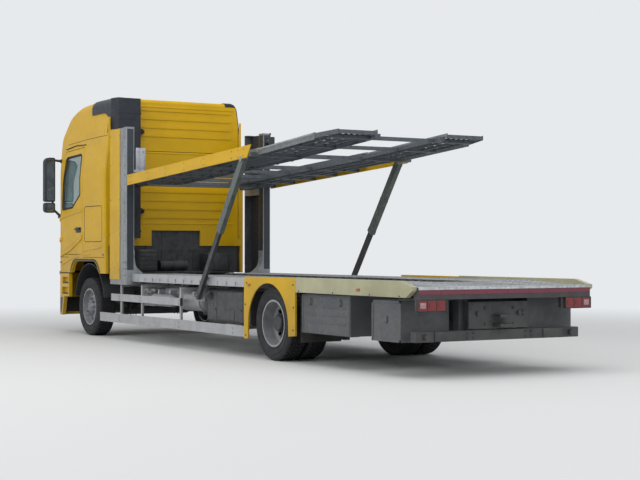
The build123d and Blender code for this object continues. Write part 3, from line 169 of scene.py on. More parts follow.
# Chassis: two riveted steel channels with cross members, the front beam axle on leaf springs and the
# rear drive axle on air springs. All of it is sprayed black and filmed with road dust; the bolts,
# brake chambers and pipes are added on the rails and axles.
FRONT = sum(corner.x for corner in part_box("front_tyre_left")) / 2
REAR = sum(corner.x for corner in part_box("rear_tyres_left")) / 2
AXLE_HEIGHT = sum(corner.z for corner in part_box("rear_tyres_left")) / 2
ROAD_DUST = (0.2, 0.185, 0.16)
CHASSIS_BLACK = (0.022, 0.024, 0.029)
RAIL_FACE = 0.43
OUT = (0, 1, 0)
VERT, FACE = bmesh.types.BMVert, bmesh.types.BMFace


def along_axis(tree, axis):
    return add(tree, "SeparateXYZ", {"Vector": here(tree)}).outputs[axis]


def clouds(tree, scale, detail=5.0, stretch=(1, 1, 1)):
    """Soft random patches over the object's own coordinates."""
    place = add(tree, "Mapping", {"Vector": here(tree), "Scale": stretch}).outputs["Vector"]
    return add(tree, "TexNoise", {"Vector": place, "Scale": scale, "Detail": detail}).outputs["Fac"]


def ramp(tree, factor, *stops):
    """Colours along a factor, from rows of (position, colour)."""
    node = add(tree, "ValToRGB", {"Fac": factor})
    while len(node.color_ramp.elements) < len(stops):
        node.color_ramp.elements.new(0.5)
    for element, (position, colour) in zip(node.color_ramp.elements, stops):
        element.position = position
        element.color = (*colour, 1)
    return node.outputs["Color"]


def mixed(tree, share, first, second):
    return add(tree, "MixRGB", {"Fac": share, "Color1": first, "Color2": second}).outputs["Color"]


def bumped(tree, bsdf, height, strength, distance):
    bump = add(tree, "Bump", {"Strength": strength, "Distance": distance, "Height": height})
    fill(tree, bsdf, {"Normal": bump.outputs["Normal"]})


def coated(name, colour, roughness, tones, shine, grain, film=None, over=None, dust=None, metallic=0.0,
        **inputs):
    """A material in layers, each a row: tones in soft patches, a film in other patches, what a
    function lays over them, dust that is thick low down and gone above a height, shine, and grain."""
    material, tree, bsdf = shader(name, colour, roughness, metallic)
    patches, *stops = tones
    tone = ramp(tree, clouds(tree, *patches), *stops)
    if film:
        tint, patches, low, high, amount = film
        tone = mixed(tree, spread(tree, clouds(tree, *patches), low, high, 0.0, amount), tone, tint)
    if over:
        tone = over(tree, tone)
    if dust:
        tint, clean_above, dirty_below, amount, patch = dust
        height = spread(tree, along_axis(tree, "Z"), clean_above, dirty_below, 0.0, amount)
        broken = spread(tree, clouds(tree, patch, 6.0), 0.35, 0.7, 0.25, 1.0)
        tone = mixed(tree, times(tree, height, broken), tone, tint)
    fill(tree, bsdf, {"Base Color": tone, **{key.replace("_", " "): value for key, value in inputs.items()}})
    if shine:
        patches, smooth, rough, *ends = shine
        fill(tree, bsdf, {"Roughness": spread(tree, clouds(tree, *patches), *(ends or (0.3, 0.7)), smooth,
                    rough)})
    if grain:
        scale, strength, distance = grain
        bumped(tree, bsdf, clouds(tree, scale, 3.0), strength, distance)
    return material


def dress(material, *names):
    """Give CAD pieces a material."""
    for name in names:
        nodes[name].data.materials.clear()
        nodes[name].data.materials.append(material)


chassis_black = coated("chassis_paint", CHASSIS_BLACK, 0.5,
    ((9.0,), (0.3, CHASSIS_BLACK), (0.75, (0.042, 0.043, 0.046))), ((14.0,), 0.38, 0.7),
    (160.0, 0.12, 0.002), dust=(ROAD_DUST, 1.0, 0.2, 0.3, 3.5))
dress(chassis_black, "chassis_frame", "front_axle", "rear_axle", "drive_shaft", "engine", "fuel_tanks",
    "knuckle_left", "knuckle_right", "tow_coupling", "underrun_guard", "strut_tube_left", "strut_tube_right")


def only(made, kind):
    return [item for item in made if isinstance(item, kind)]


def bevelled(bm, edges, offset, segments, profile=0.5):
    bmesh.ops.bevel(bm, geom=edges, offset=offset, segments=segments, affect="EDGES", profile=profile,
        material=-1)


def box_in(bm, low, high, bevel=0.0, segments=1):
    """A box between two corners, its edges bevelled if asked."""
    low, high = Vector(low), Vector(high)
    place = Matrix.Translation((low + high) / 2) @ Matrix.Diagonal((*(high - low), 1))
    made = bmesh.ops.create_cube(bm, size=1, matrix=place)["verts"]
    if bevel:
        bevelled(bm, list({edge for vert in made for edge in vert.link_edges}), bevel, segments)


def turn_to(direction):
    """The rotation that takes +Z to a direction."""
    return Vector(direction).to_track_quat("Z", "Y").to_matrix().to_4x4()


def rod_in(bm, start, end, radius, sides=12, end_radius=None):
    """A round bar between two points."""
    start, end = Vector(start), Vector(end)
    bmesh.ops.create_cone(bm, cap_ends=True, segments=sides, radius1=radius,
        radius2=radius if end_radius is None else end_radius, depth=(end - start).length,
        matrix=Matrix.Translation((start + end) / 2) @ turn_to(end - start))


def hex_bolt(bm, place, direction, size):
    """A bolt head on its washer."""
    place, direction = Vector(place), Vector(direction).normalized()
    rod_in(bm, place, place + direction * size * 0.18, size * 0.78, 10)
    rod_in(bm, place, place + direction * size * 0.65, size * 0.5, 6)


def merge_in(bm, part):
    """Move a finished part into a larger mesh."""
    mesh = mesh_of(part, "part")
    bm.from_mesh(mesh)
    bpy.data.meshes.remove(mesh)


def both_sides(bm):
    """Add the right-hand copy of everything in the mesh."""
    copy = bmesh.ops.duplicate(bm, geom=bm.verts[:] + bm.edges[:] + bm.faces[:])["geom"]
    bmesh.ops.scale(bm, vec=(1, -1, 1), verts=only(copy, VERT))
    bmesh.ops.reverse_faces(bm, faces=only(copy, FACE))


def run(first, pitch, count):
    """Evenly spaced values."""
    return [first + pitch * step for step in range(count)]


def keep(bm, name, material, slot, at=0.0, smooth=40, body="chassis", both=True):
    """Finish a mesh, mirrored to both sides, as a piece that rides on a body. Its x counts from a
    place. A name that ends in _ makes a left and a right piece, each on its own body."""
    if name.endswith("_"):
        for side, way in (("left", 1), ("right", -1)):
            half = bm.copy()
            bmesh.ops.scale(half, vec=(1, way, 1), verts=half.verts)
            keep(half, name + side, material, slot, at, smooth, body + side, False)
        bm.free()
        return None
    if both:
        both_sides(bm)
    bmesh.ops.translate(bm, vec=(at, 0, 0), verts=bm.verts)
    bmesh.ops.recalc_face_normals(bm, faces=bm.faces[:])
    mesh = mesh_of(bm, name)
    if smooth:
        mesh.shade_smooth()
        mesh.set_sharp_from_angle(angle=math.radians(smooth))
    piece = bpy.data.objects.new(name, mesh)
    scene.collection.objects.link(piece)
    mesh.materials.append(material)
    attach(piece, body)
    return piece


def rows_in(bm, boxes=(), rods=(), bolts=()):
    """Add parts from rows of what box_in, rod_in and hex_bolt take after the mesh."""
    for make, rows in ((box_in, boxes), (rod_in, rods), (hex_bolt, bolts)):
        for row in rows:
            make(bm, *row)
    return bm


def build(name, material, slot, boxes=(), rods=(), bolts=(), bm=None, **how):
    """Keep a piece made of such rows, and of what the mesh holds already."""
    bm = bmesh.new() if bm is None else bm
    return keep(rows_in(bm, boxes, rods, bolts), name, material, slot, **how)


build("frame_bolts_and_pipes", chassis_black, "chassis_black", at=REAR,
    boxes=[((x - 0.015, RAIL_FACE, 0.822), (x + 0.015, RAIL_FACE + 0.03, 0.846), 0.003)
        for x in run(-2.8, 0.41, 24)],
    rods=[((-2.9, RAIL_FACE + 0.016, z), (6.8, RAIL_FACE + 0.016, z), radius, 8)
        for z, radius in ((0.834, 0.009), (0.852, 0.006))],
    bolts=[((x + dx, RAIL_FACE, z), OUT, 0.022) for x in (-2.9, -1.9, -0.9, 0.9, 2.1, 3.3, 4.5)
        for dx in (-0.05, 0.05) for z in (0.68, 0.735, 0.79)])

# Brake chambers on the rear axle, dampers up to the frame and the rings of the air springs.
build("rear_axle_fittings", chassis_black, "chassis_black", at=REAR, smooth=35, rods=[
        ((-0.09, 0.66, AXLE_HEIGHT + 0.13), (-0.19, 0.66, AXLE_HEIGHT + 0.13), 0.085, 20),
        ((-0.19, 0.66, AXLE_HEIGHT + 0.13), (-0.31, 0.66, AXLE_HEIGHT + 0.13), 0.072, 20),
        ((0.1, 0.35, AXLE_HEIGHT - 0.03), (0.26, 0.35, 0.62), 0.03, 14),
        ((0.16, 0.35, AXLE_HEIGHT + 0.03), (0.25, 0.35, 0.57), 0.041, 14),
        *[((-0.46, RAIL_FACE, z), (-0.46, RAIL_FACE, z + 0.03), 0.118, 24) for z in run(0.36, 0.08, 3)]])

# U-bolts over the front spring seats, and dampers up to the frame.
build("front_spring_bolts", chassis_black, "chassis_black", at=FRONT, smooth=35,
    boxes=[((x - 0.02, 0.37, 0.497), (x + 0.02, 0.49, 0.512), 0.003) for x in (-0.06, 0.06)],
    rods=[((-0.1, 0.52, 0.42), (-0.22, 0.47, 0.72), 0.03, 14),
        *[((x, y, 0.32), (x, y, 0.53), 0.009, 8) for x in (-0.06, 0.06) for y in (0.382, 0.478)]])


# Wheels: steel-belted tyres on dished steel rims, single in front and twin at the rear. The tyre is
# moulded rubber with four grooves round it and notched ribs; the rims are sprayed silver and held by
# a ring of nuts, with brake dust and painted shade darkening the dish.
TYRE_RADIUS = 0.475
TREAD_DEPTH = 0.013
TREAD_STEPS = 132
NOTCH_DEPTH = 0.009
NUT_RING = 0.1675
RUBBER = (0.012, 0.013, 0.016)
rubber = coated("tyre_rubber", RUBBER, 0.8,
    ((5.0, 8.0), (0.32, RUBBER), (0.62, (0.016, 0.016, 0.019)), (0.8, (0.034, 0.032, 0.031))),
    ((22.0,), 0.66, 0.92), (240.0, 0.2, 0.001))


def tyre_mesh(bm, x, y_middle, width, outward):
    """Spin the cross-section of a tyre about the axle, then sink notches in its ribs."""
    half = width / 2
    side = [(half - 0.026, 0.2925), (half - 0.016, 0.308), (half - 0.006, 0.312), (half - 0.005, 0.322),
        (half - 0.01, 0.326), (half - 0.003, 0.358), (half, 0.385), (half, 0.396), (half - 0.005, 0.4),
        (half - 0.006, 0.428), (half - 0.003, 0.431), (half - 0.003, 0.437), (half - 0.011, 0.452),
        (half - 0.02, 0.466), (half - 0.034, 0.4745)]
    tread = [(half * groove + across, TYRE_RADIUS - depth) for groove in (0.46, 0.15, -0.15, -0.46)
        for across, depth in ((0.0065, 0), (0.004, TREAD_DEPTH), (-0.004, TREAD_DEPTH), (-0.0065, 0))]
    rows = side + tread + [(-across, radius) for across, radius in reversed(side)]
    tyre = bmesh.new()
    ring = [tyre.verts.new((x, y_middle + across * outward, TYRE_RADIUS + radius)) for across, radius in rows]
    edges = [tyre.edges.new(pair) for pair in zip(ring, ring[1:] + ring[:1])]
    bmesh.ops.spin(tyre, geom=ring + edges, cent=(x, 0, TYRE_RADIUS), axis=(0, 1, 0), angle=2 * math.pi,
        steps=TREAD_STEPS, use_merge=True)
    notched = []
    for face in tyre.faces:
        spot = face.calc_center_median()
        radius = math.hypot(spot.x - x, spot.z - TYRE_RADIUS)
        if radius < TYRE_RADIUS - 0.004 or abs(spot.y - y_middle) > half or face.calc_area() < 1e-4:
            continue
        turn = (math.atan2(spot.z - TYRE_RADIUS, spot.x - x) / (2 * math.pi)) % 1.0
        rib = int((spot.y - y_middle) / half * 3.2 + 5)
        if (int(turn * TREAD_STEPS) + rib) % 3 == 0:
            notched.append(face)
    sunk = bmesh.ops.extrude_discrete_faces(tyre, faces=notched)["faces"]
    for vert in {vert for face in sunk for vert in face.verts}:
        vert.co -= Vector((vert.co.x - x, 0, vert.co.z - TYRE_RADIUS)).normalized() * NOTCH_DEPTH
    merge_in(bm, tyre)


def rim_paint(name, x, disc, edge):
    """Silver wheel paint: brake dust and painted shade darken the disc out to edge; the rim's flange stays
    bright.
    """
    def darken(tree, tone):
        arm = add(tree, "VectorMath", {0: here(tree), 1: (x, 0, TYRE_RADIUS)}, operation="SUBTRACT")
        flat = add(tree, "VectorMath", {0: arm.outputs["Vector"], 1: (1, 0, 1)}, operation="MULTIPLY")
        reach = add(tree, "VectorMath", {0: flat.outputs["Vector"]}, operation="LENGTH")
        return mixed(tree, spread(tree, reach.outputs["Value"], edge - 0.02, edge + 0.02), disc, tone)

    tones = ((7.0, 7.0), (0.3, (0.22, 0.225, 0.235)), (0.55, (0.3, 0.31, 0.325)), (0.8, (0.2, 0.2, 0.2)))
    return coated(name, disc, 0.42, tones, ((18.0,), 0.32, 0.62), (90.0, 0.08, 0.002), over=darken,
        metallic=0.35)


def wheel_fittings(x, y_face, y_hub, ring_radius, cap_radius, outward):
    """Ten nuts in a ring round the hub, the hub's cap and the bolts in it."""
    def spot(radius, turn, y):
        turn *= 2 * math.pi
        return Vector((x + radius * math.cos(turn), outward * y, TYRE_RADIUS + radius * math.sin(turn)))

    bm = bmesh.new()
    for index in range(10):
        foot = spot(ring_radius, index / 10, y_face)
        for height, radius, sides in ((0.012, 0.023, 12), (0.036, 0.0165, 6), (0.046, 0.01, 10)):
            rod_in(bm, foot, foot + Vector((0, outward * height, 0)), radius, sides)
    for index in range(8):
        hex_bolt(bm, spot(cap_radius * 0.78, (index + 0.5) / 8, y_hub), (0, outward, 0), 0.014)
    rod_in(bm, spot(0, 0, y_hub - 0.01), spot(0, 0, y_hub + 0.006), cap_radius * 0.6, 28, cap_radius * 0.5)
    return bm


rim_silver = rim_paint("rim_silver", FRONT, (0.19, 0.195, 0.21), 0.17)
# The rear discs are near black: brake dust, and painted shade in their deep dish.
rear_rim_silver = rim_paint("rear_rim_silver", REAR, (0.045, 0.048, 0.054), 0.225)
for side, outward in (("left", 1), ("right", -1)):
    dress(rim_silver, f"front_rim_{side}")
    dress(rear_rim_silver, f"rear_rims_{side}")
    for end, wheel, tyre, x, tyres, width, nuts in (
            ("front", "front_wheel", "front_tyre", FRONT, (1.0525,), 0.295,
                (1.15, 1.184, NUT_RING * 0.82, 0.088)),
            ("rear", "rear_wheels", "rear_tyres", REAR, (1.065, 0.753), 0.27,
                (0.967, 1.112, NUT_RING * 0.88, 0.1))):
        bm = bmesh.new()
        for y in tyres:
            tyre_mesh(bm, x, outward * y, width, outward)
        tread = keep(bm, f"{end}_tread_{side}", rubber, "tyre", smooth=32, body=f"{wheel}_{side}", both=False)
        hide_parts(f"{tyre}_{side}")
        keep(wheel_fittings(x, *nuts, outward), f"{end}_nuts_{side}", rim_silver, "wheel_silver", smooth=35,
            body=f"{wheel}_{side}", both=False)


# Fuel tanks: black painted steel boxes with rounded edges, held to the frame by two straps each and
# filled through a cap on the outer face.
tank_low, tank_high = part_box("fuel_tanks")
TANK_FACE = tank_high.y
cap_x = tank_high.x - 0.12
straps = (tank_low.x + 0.24, tank_high.x - 0.26)
build("tank_straps_and_caps", chassis_black, "chassis_black", smooth=35,
    boxes=[((tank_low.x + 0.45, TANK_FACE, 0.46), (tank_low.x + 0.75, TANK_FACE + 0.006, 0.6), 0.004),
        *[((x - 0.03, y0, z0), (x + 0.03, y1, z1)) for x in straps
            for y0, z0, y1, z1 in ((TANK_FACE, 0.44, TANK_FACE + 0.004, 0.82),
                (0.58, tank_high.z, TANK_FACE - 0.04, tank_high.z + 0.004),
                (0.58, tank_low.z - 0.004, TANK_FACE - 0.04, tank_low.z))]],
    rods=[((cap_x, TANK_FACE - 0.01, 0.76), (cap_x, TANK_FACE + 0.035, 0.8), 0.048, 24),
        ((cap_x, TANK_FACE + 0.033, 0.8), (cap_x, TANK_FACE + 0.05, 0.815), 0.04, 8)],
    bolts=[((x, TANK_FACE + 0.004, 0.6), OUT, 0.02) for x in straps])


# Air tanks: pressed cylinders in bare silver paint on flat carriers, each held by two bands, and the
# block of brake valves in front of them with its pipes.
def tinted(colour, factor, more=0.0):
    return tuple(part * factor + more for part in colour)


def silver_paint(name, colour, roughness, metallic, low_dust):
    tones = ((6.0, 7.0), (0.3, tinted(colour, 0.86)), (0.5, colour), (0.75, tinted(colour, 1.1)))
    return coated(name, colour, roughness, tones, ((20.0,), roughness - 0.1, roughness + 0.16),
        (120.0, 0.1, 0.002), dust=(ROAD_DUST, 1.3, 0.25, low_dust, 3.5), metallic=metallic)


tank_silver = silver_paint("tank_silver", (0.34, 0.35, 0.365), 0.42, 0.45, 0.45)
dress(tank_silver, "air_tanks")
bm = bmesh.new()
for x0, x1, y, z, radius in ((2.33, 3.0, 0.96, 0.68, 0.15), (3.15, 3.8, 0.9, 0.76, 0.11),
        (3.15, 3.8, 1.11, 0.66, 0.09)):
    for x in (x0 + 0.13, x1 - 0.13):
        rod_in(bm, (x - 0.016, y, z), (x + 0.016, y, z), radius + 0.004, 32)
        box_in(bm, (x - 0.016, y - 0.02, z + radius), (x + 0.016, y + 0.02, z + radius + 0.03), 0.004)
    for x, way in ((x0, -1), (x1, 1)):
        rod_in(bm, (x, y, z), (x + 0.02 * way, y, z), radius * 0.86, 28, radius * 0.62)
        rod_in(bm, (x + 0.02 * way, y, z), (x + 0.045 * way, y, z), 0.018, 8)
for row, z in enumerate((0.61, 0.69, 0.77)):
    for x in (3.96, 4.06, 4.16, 4.25):
        rod_in(bm, (x, 1.075, z), (x, 1.115 + 0.012 * row, z), 0.026, 14)
        rod_in(bm, (x, 1.1, z), (x, 1.13 + 0.012 * row, z), 0.012, 8)
keep(bm, "tank_bands_and_valves", tank_silver, "silver", REAR, 35)
pipes = [[(3.92, 1.09, 0.585 + 0.045 * row), (3.86, 1.06, 0.615 + 0.045 * row),
        (3.72, 0.99, 0.845 + 0.004 * row), (2.9, 0.8 + 0.03 * row, 0.855),
        (2.25, 0.62 + 0.02 * row, 0.85), (2.0, 0.5, 0.84)] for row in range(5)]
build("air_pipes", chassis_black, "chassis_black", at=REAR, smooth=50,
    rods=[(start, end, 0.0065, 8) for pipe in pipes for start, end in zip(pipe, pipe[1:])])


# Side guards: two rolled aluminium rails a side on posts from the frame, bolted through, with rubber
# plugs in their ends.
guard_metal = silver_paint("guard_aluminium", (0.43, 0.44, 0.455), 0.44, 0.55, 0.3)
dress(guard_metal, "side_guards", "deck_side_rails")
GUARD_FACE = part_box("side_guards")[1].y
bm = bmesh.new()
for x0, x1, z0, z1 in ((0.646, 5.69, 0.27, 0.41), (2.64, 5.22, 0.61, 0.72)):
    for z, sunk, radius in ((z0 + 0.012, 0.004, 0.007), (z1 - 0.012, 0.004, 0.007),
            ((z0 + z1) / 2, 0.002, 0.005)):
        rod_in(bm, (x0, GUARD_FACE - sunk, z), (x1, GUARD_FACE - sunk, z), radius, 8)
build("guard_bolts", guard_metal, "galvanised", at=REAR, bm=bm,
    bolts=[((x, GUARD_FACE, z), OUT, 0.018) for zs, xs in (((0.31, 0.37), (1.0, 4.88, 4.08, 2.7)),
            ((0.64, 0.69), (4.88, 4.08, 2.7)))
        for z in zs for x in xs])
plug_rubber, tree, bsdf = shader("plug_rubber", (0.02, 0.02, 0.022), 0.75)
bumped(tree, bsdf, clouds(tree, 200.0, 3.0), 0.15, 0.002)
build("guard_end_plugs", plug_rubber, "plastic_black", at=REAR,
    boxes=[((x - 0.012, GUARD_FACE - 0.032, z0), (x + 0.012, GUARD_FACE + 0.003, z1), 0.004)
        for x, z0, z1 in ((5.69, 0.268, 0.412), (2.64, 0.608, 0.722), (5.22, 0.608, 0.722))])


# Storage boxes: welded grey sheet behind the rear wheels, its grey darkened as painted shade. The front
# one has a drop-down door with a pressed panel and two latches, hinged along its foot.
# The boxes' grey is kept dark to paint in the shade they stand in.
box_grey_in_shade = silver_paint("box_grey_in_shade", (0.068, 0.075, 0.084), 0.5, 0.1, 0.3)
dress(box_grey_in_shade, "storage_boxes", "box_door_left", "box_door_right")
door_low, door_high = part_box("box_door_left")
BOX_FACE = 1.205


def slab(x0, x1, z0, z1, thick, bevel=0.003, face=door_high.y):
    """A row for a plate that stands on the door's face."""
    return (x0, face, z0), (x1, face + thick, z1), bevel


x0, x1, z0, z1 = door_low.x, door_high.x, door_low.z, door_high.z
build("box_door_panel_", box_grey_in_shade, "galvanised", body="box_door_", boxes=[
        slab(x0 + 0.02, x1 - 0.02, z1 - 0.035, z1 - 0.015, 0.006),
        slab(x0 + 0.02, x1 - 0.02, z0 + 0.015, z0 + 0.035, 0.006),
        *[slab(x, x + 0.02, z0 + 0.035, z1 - 0.035, 0.006) for x in (x0 + 0.02, x1 - 0.04)],
        *[slab(x0 + 0.1, x1 - 0.1, z - 0.012, z + 0.012, 0.005)
            for z in (z0 + (z1 - z0) * share for share in (0.3, 0.5, 0.7))],
        *[slab(x - 0.035, x + 0.035, z1 - 0.115, z1 - 0.055, 0.01, 0.004) for x in (x0 + 0.22, x1 - 0.22)],
        *[slab(x - 0.012, x + 0.012, z1 - 0.13, z1 - 0.045, 0.018, 0.004) for x in (x0 + 0.22, x1 - 0.22)]])
build("box_edges", box_grey_in_shade, "galvanised", at=REAR, boxes=[
        *[slab(x, x + 0.03, 0.39, 0.85, 0.006, 0.002, BOX_FACE) for x in (-2.94, -2.38)],
        *[slab(-2.94, -2.35, z, z + 0.03, 0.006, 0.002, BOX_FACE) for z in (0.39, 0.82)],
        slab(-2.67, -2.61, 0.6, 0.68, 0.014, 0.004, BOX_FACE)])


# Cab: steel pressings sprayed a warm yellow under clear lacquer, with a film of grime along the foot.
# Doors, side panels and rear wall are separate sheets, so their joints, the pressed lines and the
# rubber round the glass are laid on the shell.
CAB_YELLOW = (0.6, 0.355, 0.004)
PAINT_GRIME = (0.12, 0.105, 0.06)
SIDE_Y = 1.25
SHOULDER_Z = 2.6
LEAN_Z = 3.15
STRIP_SUNK = 0.003


def front(x):
    """A place along the truck, measured forward from the front axle."""
    return FRONT + x


CAB_REAR = front(-0.83)
cab_yellow = coated("cab_yellow_paint", CAB_YELLOW, 0.34,
    ((1.3, 6.0, (1, 1, 1.6)), (0.3, tinted(CAB_YELLOW, 0.9)), (0.5, CAB_YELLOW),
        (0.72, tinted(CAB_YELLOW, 0.88, 0.003))), ((9.0, 6.0), 0.26, 0.5, 0.3, 0.75), (55.0, 0.035, 0.003),
    film=(ROAD_DUST, (70.0, 8.0), 0.62, 0.8, 0.1), dust=(PAINT_GRIME, 1.7, 0.3, 0.5, 2.2),
    Specular_IOR_Level=0.15, Coat_Weight=0.11, Coat_Roughness=0.12)
dress(cab_yellow, "cab_shell", "door_left", "door_right", "post_covers", "rear_fenders", "upper_deck_beams")


def moulded(name, colour, roughness, grain=260.0):
    """Moulded plastic or rubber with a fine grain and a little dust in it."""
    return coated(name, colour, roughness, ((8.0, 7.0), (0.35, colour), (0.8, tinted(colour, 1.4, 0.004))),
        ((30.0,), roughness - 0.08, roughness + 0.12), (grain, 0.22, 0.001),
        dust=(ROAD_DUST, 2.0, 0.3, 0.24, 3.5), Specular_IOR_Level=0.35)


trim_black = moulded("black_moulding", (0.012, 0.015, 0.022), 0.48)
seal_rubber = moulded("seal_rubber", (0.012, 0.012, 0.013), 0.7, 120.0)
dress(trim_black, "roof_trim", "grille", "mirrors", "front_mudguards")


def side_y(z):
    """How far out the cab's side lies: upright to the shoulder, then leaning in twice."""
    if z > LEAN_Z:
        return SIDE_Y - 0.065 - 0.13 * (z - LEAN_Z)
    inward = max(z - SHOULDER_Z + 0.088, 0) ** 2 / 3.0
    return SIDE_Y - (min(inward, 0.1182 * (z - SHOULDER_Z)) if z > SHOULDER_Z + 0.088 else inward)


def raised(bm, faces, rise):
    """Turn flat faces into a plate of a thickness."""
    made = bmesh.ops.extrude_face_region(bm, geom=faces, use_keep_orig=True)["geom"]
    bmesh.ops.translate(bm, vec=rise, verts=only(made, VERT))


def hollow(bm, corners, border):
    """A flat ring inside a closed row of corners."""
    face = bm.faces.new(corners)
    face.normal_update()
    made = bmesh.ops.inset_region(bm, faces=[face], thickness=border, use_boundary=True)["faces"]
    bmesh.ops.delete(bm, geom=[face], context="FACES_ONLY")
    return made


def cut_long_edges(bm, longest, cuts):
    edges = [edge for edge in bm.edges if edge.calc_length() > longest]
    bmesh.ops.subdivide_edges(bm, edges=edges, cuts=cuts, use_grid_fill=True)


def rounded_path(rows, steps=5):
    """Corner points turned into short arcs, from rows of (across, up, radius)."""
    path = []
    for index, (x, z, radius) in enumerate(rows):
        corner = Vector((x, z))
        back = (Vector(rows[index - 1][:2]) - corner).normalized()
        ahead = (Vector(rows[(index + 1) % len(rows)][:2]) - corner).normalized()
        half = back.angle(ahead) / 2
        centre = corner + (back + ahead).normalized() * radius / math.sin(half)
        start, end = (corner + way * radius / math.tan(half) - centre for way in (back, ahead))
        turn = start.angle_signed(end)
        path += [tuple(centre + Matrix.Rotation(-turn * step / steps, 2) @ start)
            for step in range(steps + 1)]
    return path


def side_ring(bm, rows, width, proud):
    """A frame inside a path of rounded corners, still flat on the middle plane."""
    ring = bmesh.new()
    hollow(ring, [ring.verts.new((front(x), 0, z)) for x, z in rounded_path(rows)], width)
    cut_long_edges(ring, 0.2, 8)
    raised(ring, ring.faces[:], (0, proud + STRIP_SUNK, 0))
    merge_in(bm, ring)


def side_strip(bm, points, width, proud, upright=False, rounding=0.0, segments=2):
    """A strip through points (ahead of the front axle, height), still flat on the middle plane."""
    strip = bmesh.new()
    corners = [strip.verts.new((front(x), 0, z)) for x, z in points]
    for pair in zip(corners, corners[1:]):
        strip.edges.new(pair)
    bmesh.ops.subdivide_edges(strip, edges=strip.edges[:], cuts=6)
    made = bmesh.ops.extrude_edge_only(strip, edges=strip.edges[:])["geom"]
    bmesh.ops.translate(strip, vec=(width, 0, 0) if upright else (0, 0, width), verts=only(made, VERT))
    raised(strip, only(made, FACE), (0, proud + STRIP_SUNK, 0))
    if rounding:
        bevelled(strip, [edge for edge in strip.edges if edge.calc_face_angle(0) > 1.0], rounding, segments)
    merge_in(bm, strip)


def lay_on_side(name, material, slot, rings=(), strips=(), **how):
    """Keep rings and strips, moved out from the middle plane to the cab's left side."""
    bm = bmesh.new()
    for make, rows in ((side_ring, rings), (side_strip, strips)):
        for row in rows:
            make(bm, *row)
    for vert in bm.verts:
        vert.co.y += side_y(vert.co.z) - STRIP_SUNK
    keep(bm, name, material, slot, **how)


# columns: ahead of the front axle, height, corner radius
WINDOW_ROWS = ((0.258, 2.328, 0.07), (0.619, 2.112, 0.08), (1.117, 2.082, 0.06), (1.026, 2.998, 0.07),
    (0.294, 3.028, 0.07))
LOCKER_ROWS = ((-0.7, 2.13, 0.06), (-0.7, 1.54, 0.06), (0.075, 1.54, 0.06), (0.075, 2.13, 0.06))
lay_on_side("cab_side_seals", seal_rubber, "plastic_black", smooth=35, rings=[(LOCKER_ROWS, 0.01, 0.002)],
    strips=[
        ([(-0.8, 3.26), (0.1, 3.245), (1.0, 3.205)], 0.008, 0.001),
        ([(-0.8, 1.285), (0.14, 1.285)], 0.008, 0.001),
        ([(0.8, 1.285), (1.2, 1.285)], 0.008, 0.001), ([(0.16, 3.155), (0.6, 3.165), (1.06, 3.125)], 0.014,
            0.011)])

# Pressings that belong to the door ride on the door's body, and so does its handle.
lay_on_side("door_window_seal_", seal_rubber, "plastic_black", body="cab_door_", smooth=35,
    rings=[(WINDOW_ROWS, 0.03, 0.003)])
lay_on_side("door_pressings_", cab_yellow, "cab_yellow", body="cab_door_", smooth=50, strips=[
        ([(0.19, 1.585), (0.72, 1.39), (1.17, 1.285)], 0.075, 0.012, False, 0.012, 4),
        ([(0.18, 2.045), (0.58, 2.01), (1.13, 1.945)], 0.045, 0.008, False, 0.008, 4)])
build("door_handle_", trim_black, "plastic_black", at=FRONT, body="cab_door_",
    boxes=[((0.225, SIDE_Y - 0.004, 1.7), (0.465, SIDE_Y + 0.005, 1.79), 0.004, 2)],
    rods=[((0.255, SIDE_Y + 0.022, 1.765), (0.435, SIDE_Y + 0.022, 1.765), 0.012, 12),
        *[((x, SIDE_Y, 1.765), (x, SIDE_Y + 0.022, 1.765), 0.01, 10) for x in (0.262, 0.428)],
        ((0.505, SIDE_Y - 0.002, 1.755), (0.505, SIDE_Y + 0.007, 1.755), 0.013, 16)])

# Over the front wheel: the black lip of the arch and the pressed line that falls towards the bumper.
lay_on_side("arch_lips", trim_black, "plastic_black", strips=[
        ([(-0.6, 1.03), (-0.575, 1.09), (-0.5, 1.17), (-0.42, 1.215), (-0.33, 1.232), (0.47, 1.232),
                (0.57, 1.205),
                (0.65, 1.13), (0.7, 1.04)], 0.03, 0.009)])
lay_on_side("side_panel_pressings", cab_yellow, "cab_yellow", smooth=50, strips=[
        ([(-0.66, 1.44), (-0.05, 1.4), (0.13, 1.37)], 0.026, 0.007, False, 0.0028),
        ([(-0.2, 1.335), (0.3, 1.305), (0.75, 1.235), (1.15, 1.135)], 0.026, 0.007, False, 0.0028),
        ([(-0.79, 1.6), (-0.79, 2.45), (-0.79, 3.25)], 0.03, 0.005, True, 0.0028)])


# Rear wall: folded flanges down both edges, a sealed joint between the upper and lower sheet, and the
# clips that hold the black intake stack.
build("rear_wall_flanges", cab_yellow, "cab_yellow", at=CAB_REAR, smooth=50, both=False, boxes=[
        *[((-0.006, y, 1.6), (0.004, y + 0.04, 3.55), 0.003, 2) for y in (1.16, -1.2)],
        *[((-x, -1.06, z0), (0.004, 0.66, z1), 0.003, 2) for x, z0, z1 in ((0.006, 3.735, 3.765),
                (0.005, 2.985, 3.01),
                (0.005, 1.83, 1.856))]])
build("rear_wall_seals_and_clips", seal_rubber, "plastic_black", at=CAB_REAR, both=False, boxes=[
        ((-0.0015, -1.14, 3.018), (0.003, 0.68, 3.026)),
        *[((-0.0015, y - 0.004, 1.6), (0.003, y + 0.004, 3.55)) for y in (-1.145, 1.148)],
        *[((-0.095, 0.63, z - 0.045), (0.002, 0.7, z + 0.045), 0.012, 2) for z in (3.33, 2.04)],
        *[((-0.06, 0.59, z - 0.028), (-0.01, 0.64, z + 0.028), 0.008, 2) for z in (3.33, 2.04)]])
